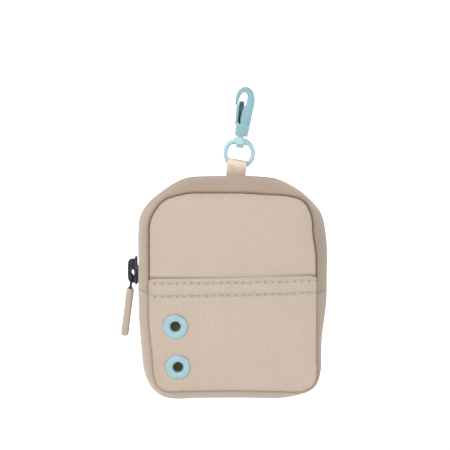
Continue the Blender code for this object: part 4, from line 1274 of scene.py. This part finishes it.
shell = [
    plate("slider_plate", [top_outline], 0.62, 0.3, moved(SIDE_ON, y=-1.05), SLIDER_METAL),
    plate("slider_under", [under_outline], 0.5, 0.2, moved(SIDE_ON, y=3.5), SLIDER_METAL),
]
for side in (1, -1):
    place = moved(SIDE_ON, side * (half_body - 0.62) - 0.27, -0.45)
    shell.append(plate("slider_wing", [wing_outline], 0.45, 0.12, place, SLIDER_METAL, 2))
shell.append(plate("slider_post", [post_outline], 2.2, 0.1, moved(SIDE_ON, y=1.0), SLIDER_METAL, 1))
dress(join("slider_shell", shell), "slider", "dark_metal", "slider_body")

crown_low, crown_high = measured("slider_crown", POUCH)
foot, top = crown_low[2], crown_high[2]
bridge = [(1.3, top), (3.6, top - 0.1), (4.75, top - 0.9), (5.2, top - 2.4), (5.25, foot + 3.2)]
bridge += [(4.8, foot + 1.2), (3.8, foot + 0.15), (1.3, foot)]
bar = POUCH.inverted() @ PULL.translation / MM
outer_line = [(crest_x - out, z) for out, z in catmull(bridge, 5)]
inner_line = [(bar.x + 0.45 - 0.66 * c, bar.z + 1.0 + 1.7 * s) for c, s in turns(24)]
crown = plate("slider_bridge", [outer_line, inner_line], 1.5, 0.35, moved(POUCH, y=slide_y), SLIDER_METAL, 4)
dress(crown, "slider", "dark_metal", "slider_crown")

LINK_WIRE = 0.6
link_low, link_high = measured("pull_link", PULL)
wide = link_high[1] - LINK_WIRE
end = link_low[2] + LINK_WIRE
half_link = [(0.6, -0.15), (0.86, -1.2), (0.88, -3.0), (1.0, -5.4), (1.0, end + 1.6), (0.7, end + 0.25)]
link_path = [(0, 0, 0)] + [(0, wide * share, z) for share, z in half_link]
link_path += [(0, 0, end)] + [(0, -wide * share, z) for share, z in reversed(half_link)]
made = cloth_mesh()
sweep(made, catmull(link_path, 6, True), LINK_WIRE, 12, closed=True)
dress(from_bmesh("pull_wire", made, PULL, SLIDER_METAL), "pull", "dark_metal", "pull_link")

tab_low, tab_high = measured("pull_tab", PULL)
tab_half_x, tab_half_y, _ = (tab_high - tab_low) / 2
tab_top, tab_bottom = tab_high[2], tab_low[2]
length = tab_top - tab_bottom


def tab_ring(made, z, half_x, half_y, power=5.0):
    """One level of the tab: a rounded rectangle."""
    ring = []
    for c, s in turns(48):
        x = half_x * math.copysign(abs(c) ** (2 / power), c)
        y = half_y * math.copysign(abs(s) ** (2 / power), s)
        ring.append(made.verts.new((x, y, z)))
    return ring


levels = []
for share in (0.0, 0.02, 0.06, 0.12, 0.2):
    grow = math.sqrt(1 - (1 - share / 0.2) ** 2)
    levels.append((tab_bottom + share * length * 0.55, max(0.15, 0.35 + 0.65 * grow), max(0.06, grow)))
for share in (0.2, 0.35, 0.5, 0.65, 0.8, 0.9):
    waist = 1 - 0.06 * math.sin(math.pi * (share - 0.1) / 0.9)
    levels.append((tab_bottom + share * length, waist, waist))
for drop, grow in ((1.6, 0.98), (0.8, 0.93), (0.3, 0.84), (0.05, 0.74)):
    levels.append((tab_top - drop, grow, grow))
made = bmesh.new()
rings = [tab_ring(made, z, tab_half_x * grow_x, tab_half_y * grow_y) for z, grow_x, grow_y in levels]
mouth = wide + LINK_WIRE + 0.35
for z, half_x, inset in ((tab_top, 1.12, 0.0), (tab_top - 0.5, 1.0, 0.1), (end - 0.9, 0.95, 0.15)):
    rings.append(tab_ring(made, z, half_x, mouth - inset, 2.6))
quads(made, rings, round_columns=True)
made.faces.new(rings[0])
made.faces.new(rings[-1][::-1])
dress(from_bmesh("pull_grip", made, PULL, TAB_RUBBER, 70), "pull", "pull_rubber", "pull_tab")


# Stage: a plain white floor that curves up all round, soft light and the camera

TARGET = Vector((-9.75, 0.0, -66.5)) * MM
ELEVATION = math.radians(1.4)
DISTANCE = 1.2
VIEW_HEIGHT = 0.225
SENSOR = 36.0
FLOOR_DROP = 120.0
FLOOR_RADIUS = 1750.0
FLOOR_BEND = 550.0


def sweep_paper():
    """White paper that glows more the further it is from the pouch."""
    graph = Graph("sweep_paper", 0.95, Emission_Color=(1.0, 1.0, 1.0, 1.0))
    place = graph.solid()
    away = graph.add("ShaderNodeVectorMath", {0: place}, operation="LENGTH").outputs["Value"]
    glow = graph.stretch(away, 400.0, 1500.0, 0.2, 0.66)
    graph.fill(graph.shader, {"Emission Strength": glow})
    fibres = graph.noise(place, 0.02)
    return graph.finish(graph.over((0.93, 0.93, 0.93), fibres, 0.3, 0.7, 1.0, (0.95, 0.95, 0.95)))


floor_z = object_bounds()[0].z / MM - FLOOR_DROP
bowl = [(0.01, floor_z), (600.0, floor_z), (FLOOR_RADIUS, floor_z)]
for step in range(1, 13):
    angle = TURN / 4 * step / 12
    bowl.append((FLOOR_RADIUS + FLOOR_BEND * math.sin(angle), floor_z + FLOOR_BEND * (1 - math.cos(angle))))
bowl.append((FLOOR_RADIUS + FLOOR_BEND, floor_z + 1.8 * FLOOR_BEND))
lathe("studio_sweep", bowl, Matrix.Identity(4), sweep_paper(), 96, False)


def aimed(name, data, place):
    """A lamp or camera that looks at the pouch."""
    obj = link(bpy.data.objects.new(name, data))
    obj.location = place
    obj.rotation_euler = (TARGET - Vector(place)).to_track_quat("-Z", "Y").to_euler()
    return obj


for name, place, power, size in (
    ("key", (-0.6, -1.5, 0.7), 14.2, 0.8),
    ("fill", (1.1, -1.3, 0.0), 2.0, 1.0),
    ("top", (-0.2, -0.05, 1.1), 9.6, 0.8),
):
    lamp = bpy.data.lights.new(name, "AREA")
    lamp.shape = "SQUARE"
    lamp.size = size
    lamp.energy = power
    aimed(name, lamp, place)

world = bpy.data.worlds.new("studio")
world.use_nodes = True
world.node_tree.nodes["Background"].inputs["Color"].default_value = (1.0, 1.0, 1.0, 1.0)
world.node_tree.nodes["Background"].inputs["Strength"].default_value = 0.14
bpy.context.scene.world = world
bpy.context.scene.view_settings.view_transform = "Standard"

camera_data = bpy.data.cameras.new("camera")
camera_data.sensor_width = SENSOR
camera_data.lens = SENSOR * DISTANCE / VIEW_HEIGHT
camera_data.clip_end = 20.0
towards = Vector((0.0, -math.cos(ELEVATION), math.sin(ELEVATION)))
bpy.context.scene.camera = aimed("camera", camera_data, TARGET + DISTANCE * towards)
